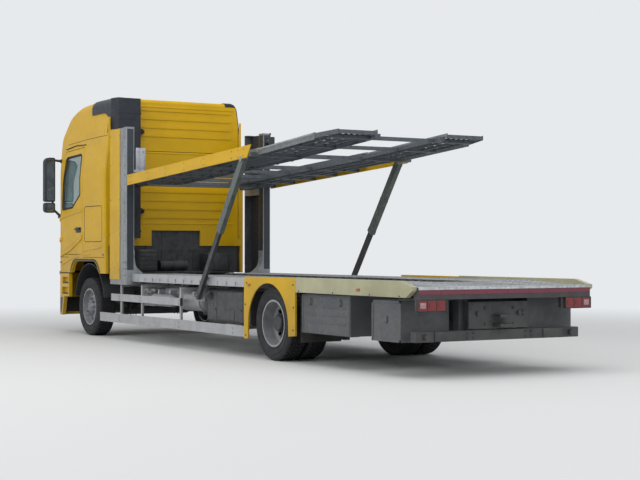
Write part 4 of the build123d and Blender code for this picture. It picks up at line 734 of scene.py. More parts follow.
build("stack_ribs", trim_black, "plastic_black", at=CAB_REAR, both=False, boxes=[
        *[((-0.1865, 0.74, z), (-0.18, 1.06, z + 0.012), 0.002) for z in run(1.78, 0.215, 9)],
        *[((-0.1875, 0.7, z), (-0.02, 1.1, z + 0.028), 0.004) for z in (1.7, 2.55, 3.6)]])


# Bumper: yellow, with a black band ahead of a leaning joint that leaves a thin yellow lip below it,
# and black step plates in its sides.
BUMPER_LEAN = 0.2857


def black_band(tree, tone):
    """Black ahead of the leaning joint, in a band of heights."""
    z = along_axis(tree, "Z")
    leaning = maths(tree, "MULTIPLY_ADD", z, BUMPER_LEAN, along_axis(tree, "X"))
    ahead = maths(tree, "GREATER_THAN", leaning, front(1.0) + 0.62 * BUMPER_LEAN + 0.05)
    band = times(tree, maths(tree, "GREATER_THAN", z, 0.345), maths(tree, "LESS_THAN", z, 0.6))
    return mixed(tree, times(tree, ahead, band), tone, (0.02, 0.021, 0.025))


dress(coated("bumper_paint", CAB_YELLOW, 0.36, ((2.0, 6.0), (0.3, tinted(CAB_YELLOW, 0.9)),
            (0.7, CAB_YELLOW)),
        None, (60.0, 0.04, 0.003), over=black_band, dust=(PAINT_GRIME, 1.3, 0.2, 0.6, 3.0),
        Specular_IOR_Level=0.25, Coat_Weight=0.12, Coat_Roughness=0.2), "bumper")
treads = ((0.803, 1.087, 0.843), (0.823, 1.107, 0.663))
build("entry_step_plates", trim_black, "plastic_black", at=FRONT, boxes=[
        *[((x0, 1.206, z), (x1, 1.247, z + 0.012), 0.003) for x0, x1, z in treads],
        *[((x, 1.208, z + 0.011), (x + 0.01, 1.245, z + 0.017)) for x0, x1, z in treads
            for x in run(x0 + 0.012, 0.03, 9)]])

# A black sill closes the joint between the bumper's top and the cab's foot.
build("bumper_sill", trim_black, "plastic_black", at=FRONT, both=False, boxes=[
        ((1.245, -1.2, 0.985), (1.265, 1.2, 1.05), 0.004),
        *[((0.8, y, 0.985), (1.285, y + 0.037, 1.05), 0.004) for y in (1.195, -1.232)]])


def front_x(y, z):
    """Where the cab's front face lies: lightly crowned across, leaning back above the sill."""
    lean = 0.01 * min(max((z - 1.5) / 0.55, 0), 1) + 0.05 * max((z - 2.05) / 1.05, 0)
    return front(1.35) - 0.036 * abs(y) - lean


# Front face: rubber round the windscreen, two wipers lying along its foot, and a black radiator
# and mesh behind the slats of the grille.
SCREEN_ROWS = ((-1.138, 2.082, 0.1), (1.138, 2.082, 0.1), (1.068, 3.088, 0.12), (-1.068, 3.088, 0.12))
bm = bmesh.new()
raised(bm, hollow(bm, [bm.verts.new((0, y, z)) for y, z in rounded_path(SCREEN_ROWS)], 0.038), (0.008, 0, 0))
cut_long_edges(bm, 0.3, 9)
for vert in bm.verts:
    vert.co.x += front_x(vert.co.y, vert.co.z) - 0.004
for hub, tip in ((0.1, 0.98), (-0.8, 0.08)):
    start = Vector((front_x(hub, 2.06) + 0.006, hub, 2.045))
    end = Vector((front_x(tip, 2.16) - 0.004, tip, 2.17))
    rod_in(bm, start - Vector((0.03, 0, 0)), start + Vector((0.012, 0, 0)), 0.022, 14)
    rod_in(bm, start, start.lerp(end, 0.62), 0.01, 8, 0.007)
    box_in(bm, (end.x - 0.004, start.lerp(end, 0.25).y, 2.125), (end.x + 0.008, tip, 2.137), 0.003)
keep(bm, "windscreen_seal_and_wipers", seal_rubber, "plastic_black", both=False)

build("radiator_front", chassis_black, "chassis_black", at=FRONT, both=False, boxes=[
        ((1.238, -0.77, 1.1), (1.246, 0.77, 1.7), 0.002),
        *[((1.246, -0.7, z), (1.249, 0.7, z + 0.05), 0.001) for z in run(1.14, 0.09, 6)]])
build("grille_mesh", trim_black, "plastic_black", at=front(1.262), smooth=None, both=False, boxes=[
        *[((-0.006, y - 0.0025, 1.12), (0, y + 0.0025, 1.68)) for y in run(-0.754, 0.029, 53)],
        *[((-0.008, -0.757, z - 0.0025), (-0.002, 0.757, z + 0.0025)) for z in run(1.125, 0.029, 20)],
        *[((-0.012, y - 0.012, 1.115), (0.003, y + 0.012, 1.685), 0.002) for y in (-0.752, 0.752)]])


# Headlamps and fog lamps: chromed bowls behind clear lenses, set in black housings. The lenses are
# the CAD pieces; the bowls stand just behind and on them.
def clear_glass(name, colour, weight, roughness=0.03):
    return coated(name, colour, roughness, ((2.5, 6.0), (0.35, colour), (0.75, tinted(colour, 0.85))),
        ((5.0, 8.0), roughness, roughness + 0.12, 0.45, 0.8), None, Transmission_Weight=weight, IOR=1.45,
        Coat_Weight=0.6, Coat_Roughness=0.03)


def bright_metal(name, colour, roughness):
    return coated(name, colour, roughness, ((6.0, 6.0), (0.3, tinted(colour, 0.6)), (0.7, colour)),
        ((12.0,), roughness, roughness + 0.25), (90.0, 0.04, 0.002), metallic=1.0)


dress(clear_glass("cab_glass", (0.34, 0.46, 0.45), 0.9), "windscreen", "door_glass_left", "door_glass_right")
dress(clear_glass("lamp_lens", (0.62, 0.64, 0.66), 0.35, 0.06), "headlamps")
chrome = bright_metal("reflector_chrome", (0.75, 0.76, 0.78), 0.12)
bm = bmesh.new()
for y, radius in ((0.88, 0.052), (1.005, 0.056)):
    place = Matrix.Translation((front_x(y, 0.86) - 0.023, y, 0.86)) @ turn_to((1, 0, 0))
    for outer, border, depth in ((radius + 0.006, 0.006, 0.01), (radius * 0.5, radius * 0.08, 0.007)):
        corners = bmesh.ops.create_circle(bm, segments=28, radius=outer, matrix=place)["verts"]
        raised(bm, hollow(bm, corners, border), (depth, 0, 0))
side_x, foot_x = front_x(1.1, 0.86), front_x(0.95, 0.79)
build("headlamp_rings", chrome, "silver", bm=bm,
    boxes=[((side_x - 0.03, 1.075, 0.8), (side_x - 0.014, 1.115, 0.92), 0.006, 2),
        ((foot_x - 0.026, 0.82, 0.776), (foot_x - 0.015, 1.06, 0.792), 0.003, 2)])

lamp_x = front_x(0.86, 0.5)
bm = rows_in(bmesh.new(), rods=[((lamp_x, 0.86, 0.5), (lamp_x + 0.016, 0.86, 0.5), 0.058, 28)],
    boxes=[((front_x(1.0, 0.5) - 0.01, 0.78, z), (front_x(0.9, 0.5) + 0.01, 1.02, z + 0.015), 0.003)
        for z in (0.425, 0.565)])
both_sides(bm)
# A black sheet across the back of the bumper's mouth paints in the shade inside it.
build("bumper_mouth_shade_and_lamp_rims", trim_black, "plastic_black", bm=bm, both=False, boxes=[
        ((front(1.13), -0.86, 0.33), (front(1.15), 0.86, 1.04), 0.004),
        *[((front(1.19), -0.66, z), (front(1.2), 0.66, z + 0.012), 0.002)
            for z in run(0.455, 0.048, 5)]])


# Lamps round the cab: moulded amber lenses with fine ribs inside, two low on each side and five small
# ones along the visor.
def ribbed(name, colour, roughness, axis, scale, stops, strength, inputs):
    """Fine parallel ribs, with painted shade in the hollows between them."""
    material, tree, bsdf = shader(name, colour, roughness)
    ribs = add(tree, "TexWave", {"Scale": scale, "Vector": here(tree)}, bands_direction=axis).outputs["Fac"]
    fill(tree, bsdf, {"Base Color": ramp(tree, ribs, *stops), **inputs})
    bumped(tree, bsdf, ribs, strength, 0.002)
    return material


def lens_plastic(name, colour, glow):
    return ribbed(name, colour, 0.16, "Z", 22.0, ((0.1, tinted(colour, 0.55)), (0.7, colour)), 0.3,
        {"Coat Weight": 0.4, "Coat Roughness": 0.05, "Emission Color": colour, "Emission Strength": glow})


amber = lens_plastic("amber_lens", (0.34, 0.085, 0.008), 0.02)
lamp_red = lens_plastic("red_lens", (0.21, 0.009, 0.014), 0.06)
bm = rows_in(bmesh.new(), boxes=[
        ((front(x) - 0.035, SIDE_Y - 0.002, z - 0.014), (front(x) + 0.035, SIDE_Y + 0.012, z + 0.014),
            0.006, 3)
        for x, z in ((-0.74, 1.335), (1.16, 1.2))])
both_sides(bm)
visor = [(y, front_x(y, 3.15) + 0.11) for y in run(-0.84, 0.42, 5)]
build("cab_marker_lamps", amber, "lamp_red", bm=bm, both=False,
    boxes=[((x - 0.02, y - 0.05, 3.19), (x, y + 0.05, 3.215), 0.006, 3) for y, x in visor])


# Mirrors: two moulded black housings a side, the large one over the wide-angle one, with rounded tops
# and bowed backs. They hang on a clamp tube between two arms that taper towards the cab.
HOUSING_BACK = front(1.44) - 0.166
HOUSING_FRONT = front(1.44) - 0.004
HOUSING_IN = 1.312
HOUSING_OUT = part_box("mirrors")[1].y
PANE_OUT = HOUSING_OUT - 0.022
MIRROR_STAY = (front(1.32), 1.345)
ARM_FOOT_X = front(1.26)


def edges_at(bm, **spot):
    """The edges that lie wholly at the named coordinates."""
    return [edge for edge in bm.edges if all(abs(getattr(vert.co, axis) - value) < 1e-4
            for vert in edge.verts for axis, value in spot.items())]


def block_in(bm, low, high, corners, segments, ends=()):
    """A block with round corners seen from behind, its front and back edges rounded as well."""
    block = bmesh.new()
    box_in(block, low, high)
    for y, z, radius in corners:
        bevelled(block, edges_at(block, y=y, z=z), radius, segments)
    for x, radius, steps in ends:
        bevelled(block, edges_at(block, x=x), radius, steps)
    merge_in(bm, block)


bm = bmesh.new()
for z0, z1, top_radius, foot_radius in ((2.24, 3.005, 0.085, 0.035), (2.052, 2.226, 0.035, 0.06)):
    block_in(bm, (HOUSING_BACK, HOUSING_IN, z0), (HOUSING_FRONT, HOUSING_OUT, z1),
        ((HOUSING_OUT, z1, top_radius), (HOUSING_IN, z1, 0.03), (HOUSING_OUT, z0, foot_radius),
            (HOUSING_IN, z0, 0.03)), 8, ((HOUSING_FRONT, 0.045, 5), (HOUSING_BACK, 0.008, 2)))
for at_stay, at_cab in ((2.12, 1.99), (2.962, 2.945)):
    foot_y = side_y(at_cab)
    rod_in(bm, (*MIRROR_STAY, at_stay), (ARM_FOOT_X, foot_y - 0.03, at_cab), 0.019, 16, 0.024)
    rod_in(bm, (ARM_FOOT_X, foot_y + 0.01, at_cab), (ARM_FOOT_X, foot_y - 0.02, at_cab), 0.036, 18)
rod_in(bm, (*MIRROR_STAY, 2.055), (*MIRROR_STAY, 2.99), 0.018, 16)
mirror_housings = keep(bm, "mirror_housings", trim_black, "plastic_black")
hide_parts("mirrors")

mirror_glass = bright_metal("mirror_silvering", (0.3, 0.33, 0.36), 0.05)
bm = bmesh.new()
for z0, z1, top_radius, foot_radius in ((2.262, 2.983, 0.065, 0.025), (2.07, 2.21, 0.025, 0.045)):
    block_in(bm, (HOUSING_BACK - 0.003, HOUSING_IN + 0.02, z0), (HOUSING_BACK + 0.004, PANE_OUT, z1),
        ((PANE_OUT, z1, top_radius), (PANE_OUT, z0, foot_radius)), 6)
keep(bm, "mirror_glasses", mirror_glass, "glass")


# Inside the cab: a grained dark dashboard and steering wheel, and two sprung seats with cloth covers
# sewn over foam, seen through the glass. They take the place of the plain seats.
dash_grain = moulded("dash_grain", (0.035, 0.036, 0.04), 0.62, 420.0)
dress(dash_grain, "dashboard")
SEAT_X = front(0.28)
SEAT_Y = 0.72
BACK_TILT = -1.415
cloth = ribbed("seat_cloth", (0.045, 0.055, 0.075), 0.9, "Y", 60.0,
    ((0.2, (0.03, 0.037, 0.052)), (0.8, (0.07, 0.082, 0.105))), 0.5, {"Sheen Weight": 0.4})


def cushion_in(bm, size, crown, waist, seams, tilt, middle):
    """A crowned pad: a rounded box whose top swells, whose sides pull in, with sewn channels across."""
    pad = bmesh.new()
    size = Vector(size)
    bmesh.ops.create_cube(pad, size=1, matrix=Matrix.Diagonal((*size, 1)))
    bevelled(pad, pad.edges[:], min(size) * 0.32, 4, 0.6)
    for _ in range(2):
        cut_long_edges(pad, 0.045, 4)
    for vert in pad.verts:
        along, across, up = (2 * vert.co[axis] / size[axis] for axis in range(3))
        groove = sum(math.exp(-((vert.co.x - seam) / 0.008) ** 2) for seam in seams)
        piping = math.exp(-((abs(vert.co.y) - size.y * 0.33) / 0.007) ** 2)
        vert.co.y -= vert.co.y * waist * (1 - abs(up)) * (1 - along ** 2)
        swell = crown * (1 - along ** 2) * (1 - across ** 2)
        vert.co.z += (swell - 0.01 * groove - 0.008 * piping) * max(up, 0)
    bmesh.ops.transform(pad, matrix=Matrix.Translation(middle) @ Matrix.Rotation(tilt, 4, "Y"),
        verts=pad.verts)
    merge_in(bm, pad)


bm = bmesh.new()
for y in (SEAT_Y, -SEAT_Y):
    box_in(bm, (-0.18, y - 0.15, 1.541), (0.16, y + 0.15, 1.62), 0.012, 2)
    for x in (-0.15, 0.13):
        for rod_y in (y - 0.13, y + 0.13):
            rod_in(bm, (x, rod_y, 1.62), (-0.02 - x, rod_y, 1.93), 0.014, 10)
    for z in run(1.63, 0.058, 5):
        box_in(bm, (-0.13, y - 0.11, z), (0.11, y + 0.11, z + 0.042), 0.018, 3)
    box_in(bm, (-0.2, y - 0.19, 1.92), (0.2, y + 0.19, 1.985), 0.014, 2)
keep(bm, "seat_stands", dash_grain, "plastic_black", SEAT_X, both=False)
for y, word in ((SEAT_Y, "left"), (-SEAT_Y, "right")):
    bm = bmesh.new()
    for size, crown, waist, seams, tilt, x, z in (
            ((0.485, 0.47, 0.11), 0.018, 0.05, (-0.13, -0.04, 0.05, 0.14), 0.0, 0.0, 2.04),
            ((0.66, 0.44, 0.115), 0.016, 0.07, (-0.24, -0.12, 0.0, 0.12), BACK_TILT, -0.245, 2.41),
            ((0.17, 0.27, 0.09), 0.01, 0.04, (), BACK_TILT, -0.29, 2.7)):
        cushion_in(bm, size, crown, waist, seams, tilt, (x, y, z))
    pad = keep(bm, f"seat_cushion_{word}", cloth, "seat_cloth", SEAT_X, 60, both=False)
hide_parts("seats")

vents = (-0.62, -0.31, 0.0, 0.31)
build("dash_vents", trim_black, "plastic_black", at=FRONT, smooth=None, both=False, boxes=[
        *[((0.88, y - 0.1, 1.955), (0.892, y + 0.1, 2.025), 0.006, 2) for y in vents],
        *[((0.874, y - 0.09, z), (0.881, y + 0.09, z + 0.005)) for y in vents for z in run(1.966, 0.014, 4)]])


# Behind the cab and over the frame: an air box, a battery box, a silencer and the insulation under the
# sleeper's tunnel, all black and filmed with road dirt.
build("boxes_behind_cab", chassis_black, "chassis_black", at=CAB_REAR, both=False, boxes=[
        ((-0.3, 0.46, 1.06), (-0.02, 0.8, 1.42), 0.03, 3), ((-0.28, -0.86, 1.06), (-0.02, -0.44, 1.36),
            0.02, 2),
        *[((-0.306, 0.48, z), (-0.29, 0.78, z + 0.022), 0.004) for z in run(1.12, 0.062, 5)],
        *[((-0.29, y - 0.012, 1.07), (-0.275, y + 0.012, 1.35), 0.004) for y in (-0.78, -0.65, -0.52)],
        *[((-0.34, -0.9, z - 0.015), (0.02, 0.84, z), 0.004) for z in (1.06, 1.045)],
        ((0.05, -1.19, 1.04), (0.07, 1.19, 1.8), 0.006),
        *[((0.044, y - 0.1, 1.1), (0.052, y + 0.1, 1.76), 0.004) for y in (-0.42, -0.14, 0.14, 0.42)]],
    rods=[((-0.16, -0.1, 1.16), (-0.16, 0.38, 1.16), 0.085, 24),
        *[((-0.16, y - 0.012, 1.16), (-0.16, y + 0.012, 1.16), 0.092, 24) for y in (-0.06, 0.14, 0.34)]])


# Guide posts: heavy galvanised channels that the upper deck's carriage climbs, on knees welded to the
# deck's front. Zinc shows as a mottled grey, darker where oil from the chain has run down. The insides
# of the channels and the posts' rear and inner faces are painted dark as shade. Rows of lock holes,
# drawn as discs of painted shade, a lifting chain and bolted foot plates are added.
ZINC = (0.27, 0.29, 0.305)
POST_TOP = 3.31
BACK = (-1, 0, 0)


def rear(x):
    """A place along the truck, measured forward from the rear axle."""
    return REAR + x


def zinc(name, colour, grime_top, spangle=28.0, dark=0.55):
    """Hot-dip galvanised steel: spangled grey, streaked downwards, grimy low down."""
    return coated(name, colour, 0.5, ((spangle, 2.0), (0.25, tinted(colour, dark)), (0.48, colour),
            (0.72, tinted(colour, 1.18))), ((spangle, 4.0), 0.38, 0.66), (70.0, 0.1, 0.001),
        film=((0.055, 0.055, 0.058), (5.0, 6.0, (3, 3, 0.35)), 0.48, 0.8, 0.55),
        dust=(ROAD_DUST, grime_top, 0.3, 0.5, 3.5), metallic=0.35)


def shade_inside_channels(material):
    """Painted shade blackens the inside of the channels, where the carriage's shoes run."""
    tree = material.node_tree
    bsdf = tree.nodes["Principled BSDF"]
    x = along_axis(tree, "X")
    along = times(tree, spread(tree, x, rear(4.71), rear(4.73)),
        spread(tree, x, rear(5.205), rear(5.215), 1.0, 0.0))
    inside = spread(tree, maths(tree, "ABSOLUTE", along_axis(tree, "Y")), 1.2525, 1.2545, 0.92, 0.0)
    tone = bsdf.inputs["Base Color"].links[0].from_socket
    fill(tree, bsdf, {"Base Color": mixed(tree, times(tree, along, inside), tone, (0.016, 0.018, 0.024))})


post_zinc = zinc("post_zinc", ZINC, 1.3, 16.0, 0.78)
dress(post_zinc, "upper_carriage")
# The posts' zinc, with painted shade inside the channels.
channel_shade_zinc = zinc("channel_shade_zinc", ZINC, 1.3, 16.0, 0.78)
shade_inside_channels(channel_shade_zinc)
dress(channel_shade_zinc, "guide_posts")
# Near-black zinc for plates that paint in the shade on the posts' rear and inner faces.
web_shade_zinc = zinc("web_shade_zinc", (0.036, 0.045, 0.056), 1.2, 14.0, 0.7)
# Dark steel for the chains and the winch, and for the dark slot and lock-hole discs that paint in shade.
dark_steel_and_hole_shade = moulded("dark_steel_and_hole_shade", (0.03, 0.03, 0.032), 0.5, 140.0)
build("post_slot_and_hole_shade", dark_steel_and_hole_shade, "chassis_black", at=REAR,
    boxes=[((4.5583, 0.86, 0.895), (4.562, 1.05, 0.93), 0.001)],
    rods=[((4.635, 1.262, z), (4.635, 1.2652, z), 0.011, 14) for z in run(1.56, 0.145, 12)])
build("post_web_shade_plates", web_shade_zinc, "galvanised", at=REAR,
    boxes=[((4.558, 1.15, 1.1), (4.562, 1.256, 3.29), 0.001),
        ((4.575, 1.1365, 1.1), (4.7, 1.1395, 3.29), 0.001)])
build("lift_chains", dark_steel_and_hole_shade, "chassis_black", at=rear(4.66),
    boxes=[((-0.04, 1.155, 3.2), (0.04, 1.245, 3.225), 0.004),
        *[((-0.006, 1.2 - width, z), (0.006, 1.2 + width, z + 0.036), 0.004)
            for z, width in zip(run(1.02, 0.0425, 52), (0.009, 0.013) * 26)]],
    rods=[((0, 1.165, 3.245), (0, 1.235, 3.245), 0.045, 24)])
build("post_caps_and_bolts", post_zinc, "galvanised", at=REAR,
    boxes=[((4.555, 1.134, POST_TOP - 0.002), (4.715, 1.268, POST_TOP + 0.008), 0.003),
        ((5.115, 1.134, POST_TOP - 0.002), (5.225, 1.268, POST_TOP + 0.008), 0.003),
        ((4.555, 1.13, 1.3), (4.715, 1.139, 1.4), 0.003),
        *[((4.7, 1.252, z), (4.83, 1.2635, z + 0.05), 0.003) for z in (1.45, 2.05, 2.65, 3.15)]],
    bolts=[*[((x, 1.264, z), OUT, 0.022) for x in (4.595, 4.675) for z in (1.02, 1.12, 1.22)],
        *[((4.56, y, 0.93), BACK, 0.022) for y in (0.9, 1.02, 1.1)]])

# Covers: folded yellow sheets over the outside of each post, with a returned edge and small fixings.
build("cover_rivets", trim_black, "plastic_black", at=REAR,
    rods=[((x, 1.269, z), (x, 1.2735, z), 0.01, 12) for x in (4.832, 5.208)
        for z in (1.1, 1.65, 2.2, 2.75, 3.2)])
build("cover_edges", cab_yellow, "cab_yellow", at=REAR, smooth=50,
    boxes=[((x, 1.2645, 0.945), (x + 0.01, 1.2745, 3.312), 0.003, 2) for x in (4.815, 5.215)])

# A pale hinge plate stands on the carriage between the stack and the rear wall.
build("carriage_hinge_plate", zinc("pale_plate", (0.46, 0.47, 0.52), 1.0, 12.0, 0.75), "galvanised", at=REAR,
    body="carriage", both=False,
    boxes=[((5.215, 0.66, 2.64), (5.227, 0.83, 3.05), 0.004, 2),
        ((5.196, 0.66, 2.655), (5.214, 1.145, 2.695), 0.003)],
    bolts=[((5.215, y, z), BACK, 0.018) for z in (2.7, 2.99) for y in (0.7, 0.79)])


# Lower deck: a galvanised frame carrying planks of pressed steel laid crosswise. Each plank has rows of
# holes whose lips are punched upwards for grip and its edges folded down, and the next one starts
# after a gap. A ribbed floor fills the middle. They stand in the place of the plain plates.
TRACK_IN = 0.43
TRACK_NARROW = 1.118
TRACK_WIDE = 1.208
WIDE_FROM = rear(0.62)
SLOPE_FROM = rear(-2.2)
DECK_LEVEL = 1.04
PLANK_PITCH = 0.195
PLANK_GAP = 0.012
PLANK_FOLD = 0.034
PLANK_BORDER = 0.007
HOLE_PITCH = 0.086
HOLE = 0.05
HOLE_LIP = 0.003
EDGE = bmesh.types.BMEdge
SHEET = 0.003
plates_low, plates_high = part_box("lower_deck_plates")
DECK_FALL = (DECK_LEVEL - 1.005) / (SLOPE_FROM - plates_low.x)


def zinc_sheet(name, colour, grime):
    """Galvanised plate that is walked and driven on: bright where worn, brown dust in the corners."""
    return coated(name, colour, 0.5, ((22.0, 3.0), (0.28, tinted(colour, 0.72)), (0.5, colour),
            (0.7, tinted(colour, 1.22))), ((9.0, 7.0), 0.38, 0.66), (85.0, 0.12, 0.001),
        film=((0.115, 0.105, 0.092), (1.7, 8.0, (0.5, 2.2, 1)), 0.42, 0.72, grime), metallic=0.35)


def punched_plank(length, fold):
    """A plank along Y from y = 0, its top at z = 0: lipped eight-sided holes and edges folded down."""
    plank = bmesh.new()
    flat = PLANK_PITCH - PLANK_GAP - 2 * PLANK_BORDER
    rows, columns = max(1, round(flat / HOLE_PITCH)), max(1, round(length / HOLE_PITCH))
    place = Matrix.Translation((0, length / 2, -HOLE_LIP)) @ Matrix.Diagonal((flat, length, 1, 1))
    bmesh.ops.create_grid(plank, x_segments=rows, y_segments=columns, size=0.5, matrix=place)
    cells = plank.faces[:]
    bmesh.ops.inset_individual(plank, faces=cells, thickness=(min(flat / rows, length / columns) - HOLE) / 2)
    corners = list({vert for face in cells for vert in face.verts})
    bmesh.ops.bevel(plank, geom=corners, offset=HOLE * 0.29, segments=1, affect="VERTICES", profile=0.5,
        material=-1)
    holes = [face for face in plank.faces if len(face.verts) == 8]
    bmesh.ops.inset_individual(plank, faces=holes, thickness=HOLE_LIP, depth=HOLE_LIP)
    bmesh.ops.delete(plank, geom=holes, context="FACES")
    for edge_x, way in ((-flat / 2, -1), (flat / 2, 1)):
        rim = edges_at(plank, x=edge_x)
        for move in ((way * PLANK_BORDER, 0, 0), (0, 0, -fold)):
            made = bmesh.ops.extrude_edge_only(plank, edges=rim)["geom"]
            verts = only(made, VERT)
            bmesh.ops.translate(plank, vec=move, verts=verts)
            rim = [edge for edge in only(made, EDGE) if set(edge.verts) <= set(verts)]
    bmesh.ops.solidify(plank, geom=plank.faces[:], thickness=SHEET)
    return mesh_of(plank, "plank")


def stamp(bm, mesh, matrix):
    """Add a copy of a small mesh at a place."""
    copy = mesh.copy()
    copy.transform(matrix)
    bm.from_mesh(copy)
    bpy.data.meshes.remove(copy)


plank_zinc = zinc_sheet("plank_zinc", (0.3, 0.315, 0.322), 0.5)
dress(post_zinc, "lower_deck_frame")
narrow = punched_plank(TRACK_NARROW - TRACK_IN, PLANK_FOLD)
wide = punched_plank(TRACK_WIDE - TRACK_IN, PLANK_FOLD)
bm = bmesh.new()
plank_count = int((plates_high.x - plates_low.x) / PLANK_PITCH)
for index in range(plank_count):
    x = plates_high.x - PLANK_PITCH * (index + 0.5)
    tilt = Matrix.Rotation(-math.atan(DECK_FALL) if x < SLOPE_FROM else 0, 4, "Y")
    top = DECK_LEVEL - max(SLOPE_FROM - x, 0) * DECK_FALL
    stamp(bm, wide if x < WIDE_FROM else narrow, Matrix.Translation((x, TRACK_IN, top)) @ tilt)
last_x = plates_high.x - PLANK_PITCH * plank_count - PLANK_GAP / 2
box_in(bm, (plates_low.x, TRACK_IN, 0.975), (last_x, TRACK_WIDE, 1.004), 0.003)
planks = keep(bm, "lower_deck_planks", plank_zinc, "deck_grey", smooth=None)
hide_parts("lower_deck_plates")

# The middle floor: plates with pressed ribs along the truck, bolted down on the cross members.
FLOOR_HALF = 0.428
FLOOR_TOP = 1.012
RIB_HALF = 0.014
ribs = run(-0.36, 0.09, 9)
plate_length = (plates_high.x - SLOPE_FROM) / 6
bm = bmesh.new()
for index in range(6):
    x1 = plates_high.x - plate_length * index
    x0 = x1 - plate_length + 0.004
    rows_in(bm, boxes=[((x0, -FLOOR_HALF, FLOOR_TOP - 0.01), (x1, FLOOR_HALF, FLOOR_TOP - 0.004), 0.001),
            *[((x0 + 0.04, y - RIB_HALF, FLOOR_TOP - 0.006), (x1 - 0.04, y + RIB_HALF, FLOOR_TOP), 0.003)
                for y in ribs]],
        bolts=[((x, y, FLOOR_TOP - 0.005), (0, 0, 1), 0.015) for y in (-0.405, 0.405)
            for x in (x0 + 0.05, (x0 + x1) / 2, x1 - 0.05)])
for index in range(5):
    x1 = SLOPE_FROM - PLANK_PITCH * index
    x0 = x1 - PLANK_PITCH + 0.005
    top = DECK_LEVEL - (SLOPE_FROM - (x0 + x1) / 2) * DECK_FALL - 0.004
    rows_in(bm, boxes=[((x0, -FLOOR_HALF, top - 0.03), (x1, FLOOR_HALF, top), 0.003),
            *[((x0 + 0.02, y - RIB_HALF, top - 0.002), (x1 - 0.02, y + RIB_HALF, top + 0.002), 0.001)
                for y in ribs]])
keep(bm, "middle_floor", plank_zinc, "deck_grey", smooth=None, both=False)

# Along the deck's sides: rope hooks and joints on the silver rails, cream steel trims behind the rear
# wheels with amber markers, and the yellow fenders' rolled edge, fixings and marker lamps.
FENDER_ARCH = 0.54
ARCH_CENTRE = 0.455
EDGE_Y = 1.262
dress(coated("trim_cream", (0.37, 0.355, 0.21), 0.42,
        ((2.2, 6.0), (0.3, (0.31, 0.295, 0.17)), (0.55, (0.4, 0.385, 0.235)), (0.8, (0.35, 0.345, 0.25))),
        ((8.0,), 0.34, 0.55), (60.0, 0.05, 0.002), dust=((0.15, 0.135, 0.11), 1.08, 0.86, 0.45, 2.6),
        Coat_Weight=0.2), "deck_side_trims")
hooks = run(0.8, 0.272, 14)
build("rail_hooks_and_joints", guard_metal, "galvanised", at=REAR,
    boxes=[((x - 0.03, 1.1715, 0.925), (x + 0.03, 1.1765, 1.035), 0.002) for x in (0.66, 1.94, 3.24, 4.52)],
    rods=[*[((x, 1.172, 0.945), (x, 1.184, 0.945), 0.01, 10) for x in hooks],
        *[((x, 1.18, 0.945), (x, 1.18, 0.985), 0.007, 8) for x in hooks]])
arch = [(FENDER_ARCH * math.cos(turn), EDGE_Y, ARCH_CENTRE + FENDER_ARCH * math.sin(turn))
    for turn in run(0, math.pi / 24, 25)]
build("fender_rolled_edges", cab_yellow, "cab_yellow", at=REAR, smooth=60,
    rods=[*[(start, end, 0.01, 8) for start, end in zip(arch, arch[1:])],
        *[((x, EDGE_Y, ARCH_CENTRE), (x, EDGE_Y, z), 0.01, 8)
            for x, z in ((-FENDER_ARCH, 0.36), (FENDER_ARCH, 0.26))]])
build("fender_and_trim_bolts", trim_black, "plastic_black", at=REAR, bolts=[
        *[((x, 1.27, z), OUT, 0.014) for x, z in ((0.56, 0.98), (-0.66, 0.98), (0.59, 0.3), (-0.66, 0.42),
                (0.6, 0.7),
                (-0.67, 0.7))],
        *[((x, 1.27, 0.905), OUT, 0.012) for x in (-0.8, -1.6, -2.4, -3.0)]])
build("side_marker_lamps", amber, "lamp_red", at=REAR,
    boxes=[((x - 0.038, 1.268, 0.939), (x + 0.038, 1.2785, 0.971), 0.005, 2) for x in (0.5, -2.16)])
build("rear_mudflaps", seal_rubber, "plastic_black", at=REAR, smooth=None,
    boxes=[((-0.735, 0.62, 0.27), (-0.727, 1.2, 0.83), 0.002),
        ((-0.742, 0.62, 0.79), (-0.722, 1.2, 0.835), 0.003),
        *[((-0.729, y, 0.29), (-0.724, y + 0.022, 0.76), 0.002) for y in run(0.67, 0.068, 8)]])


# Rear end: a dark beam, its dark paint deepened with painted shade, under a pale edge strip with a thin
# crimson reflecting strip between them, lamp clusters in black carriers, and bolts and bump stops on
# the underrun bar.
REAR_X = rear(-3.28)
BAR_X = rear(-3.14)
# The beam's near black is its dark paint with painted shade added.
dress(moulded("beam_paint_and_shade", (0.035, 0.034, 0.038), 0.45, 90.0), "rear_beam")
crimson_tape, tree, bsdf = shader("crimson_tape", (0.165, 0.008, 0.03), 0.32)
cells = add(tree, "TexVoronoi", {"Scale": 160.0, "Vector": here(tree)}).outputs["Distance"]
tone = ramp(tree, cells, (0.1, (0.21, 0.01, 0.038)), (0.7, (0.12, 0.006, 0.024)))
fill(tree, bsdf, {"Base Color": tone, "Coat Weight": 0.5})
build("crimson_strip", crimson_tape, "beam_red", at=REAR_X, smooth=None, both=False,
    boxes=[((-0.0025, y, 0.925), (0.002, y + 0.299, 0.972), 0.001) for y in run(-1.205, 0.3015, 8)])
build("rear_edge_strip", zinc_sheet("edge_zinc", (0.52, 0.54, 0.56), 0.25), "deck_grey", at=REAR_X,
    both=False,
    boxes=[((-0.004, -1.208, 0.976), (0.01, 1.208, 1.008), 0.002),
        ((-0.004, -1.208, 1.002), (0.088, 1.208, 1.0085), 0.002)])

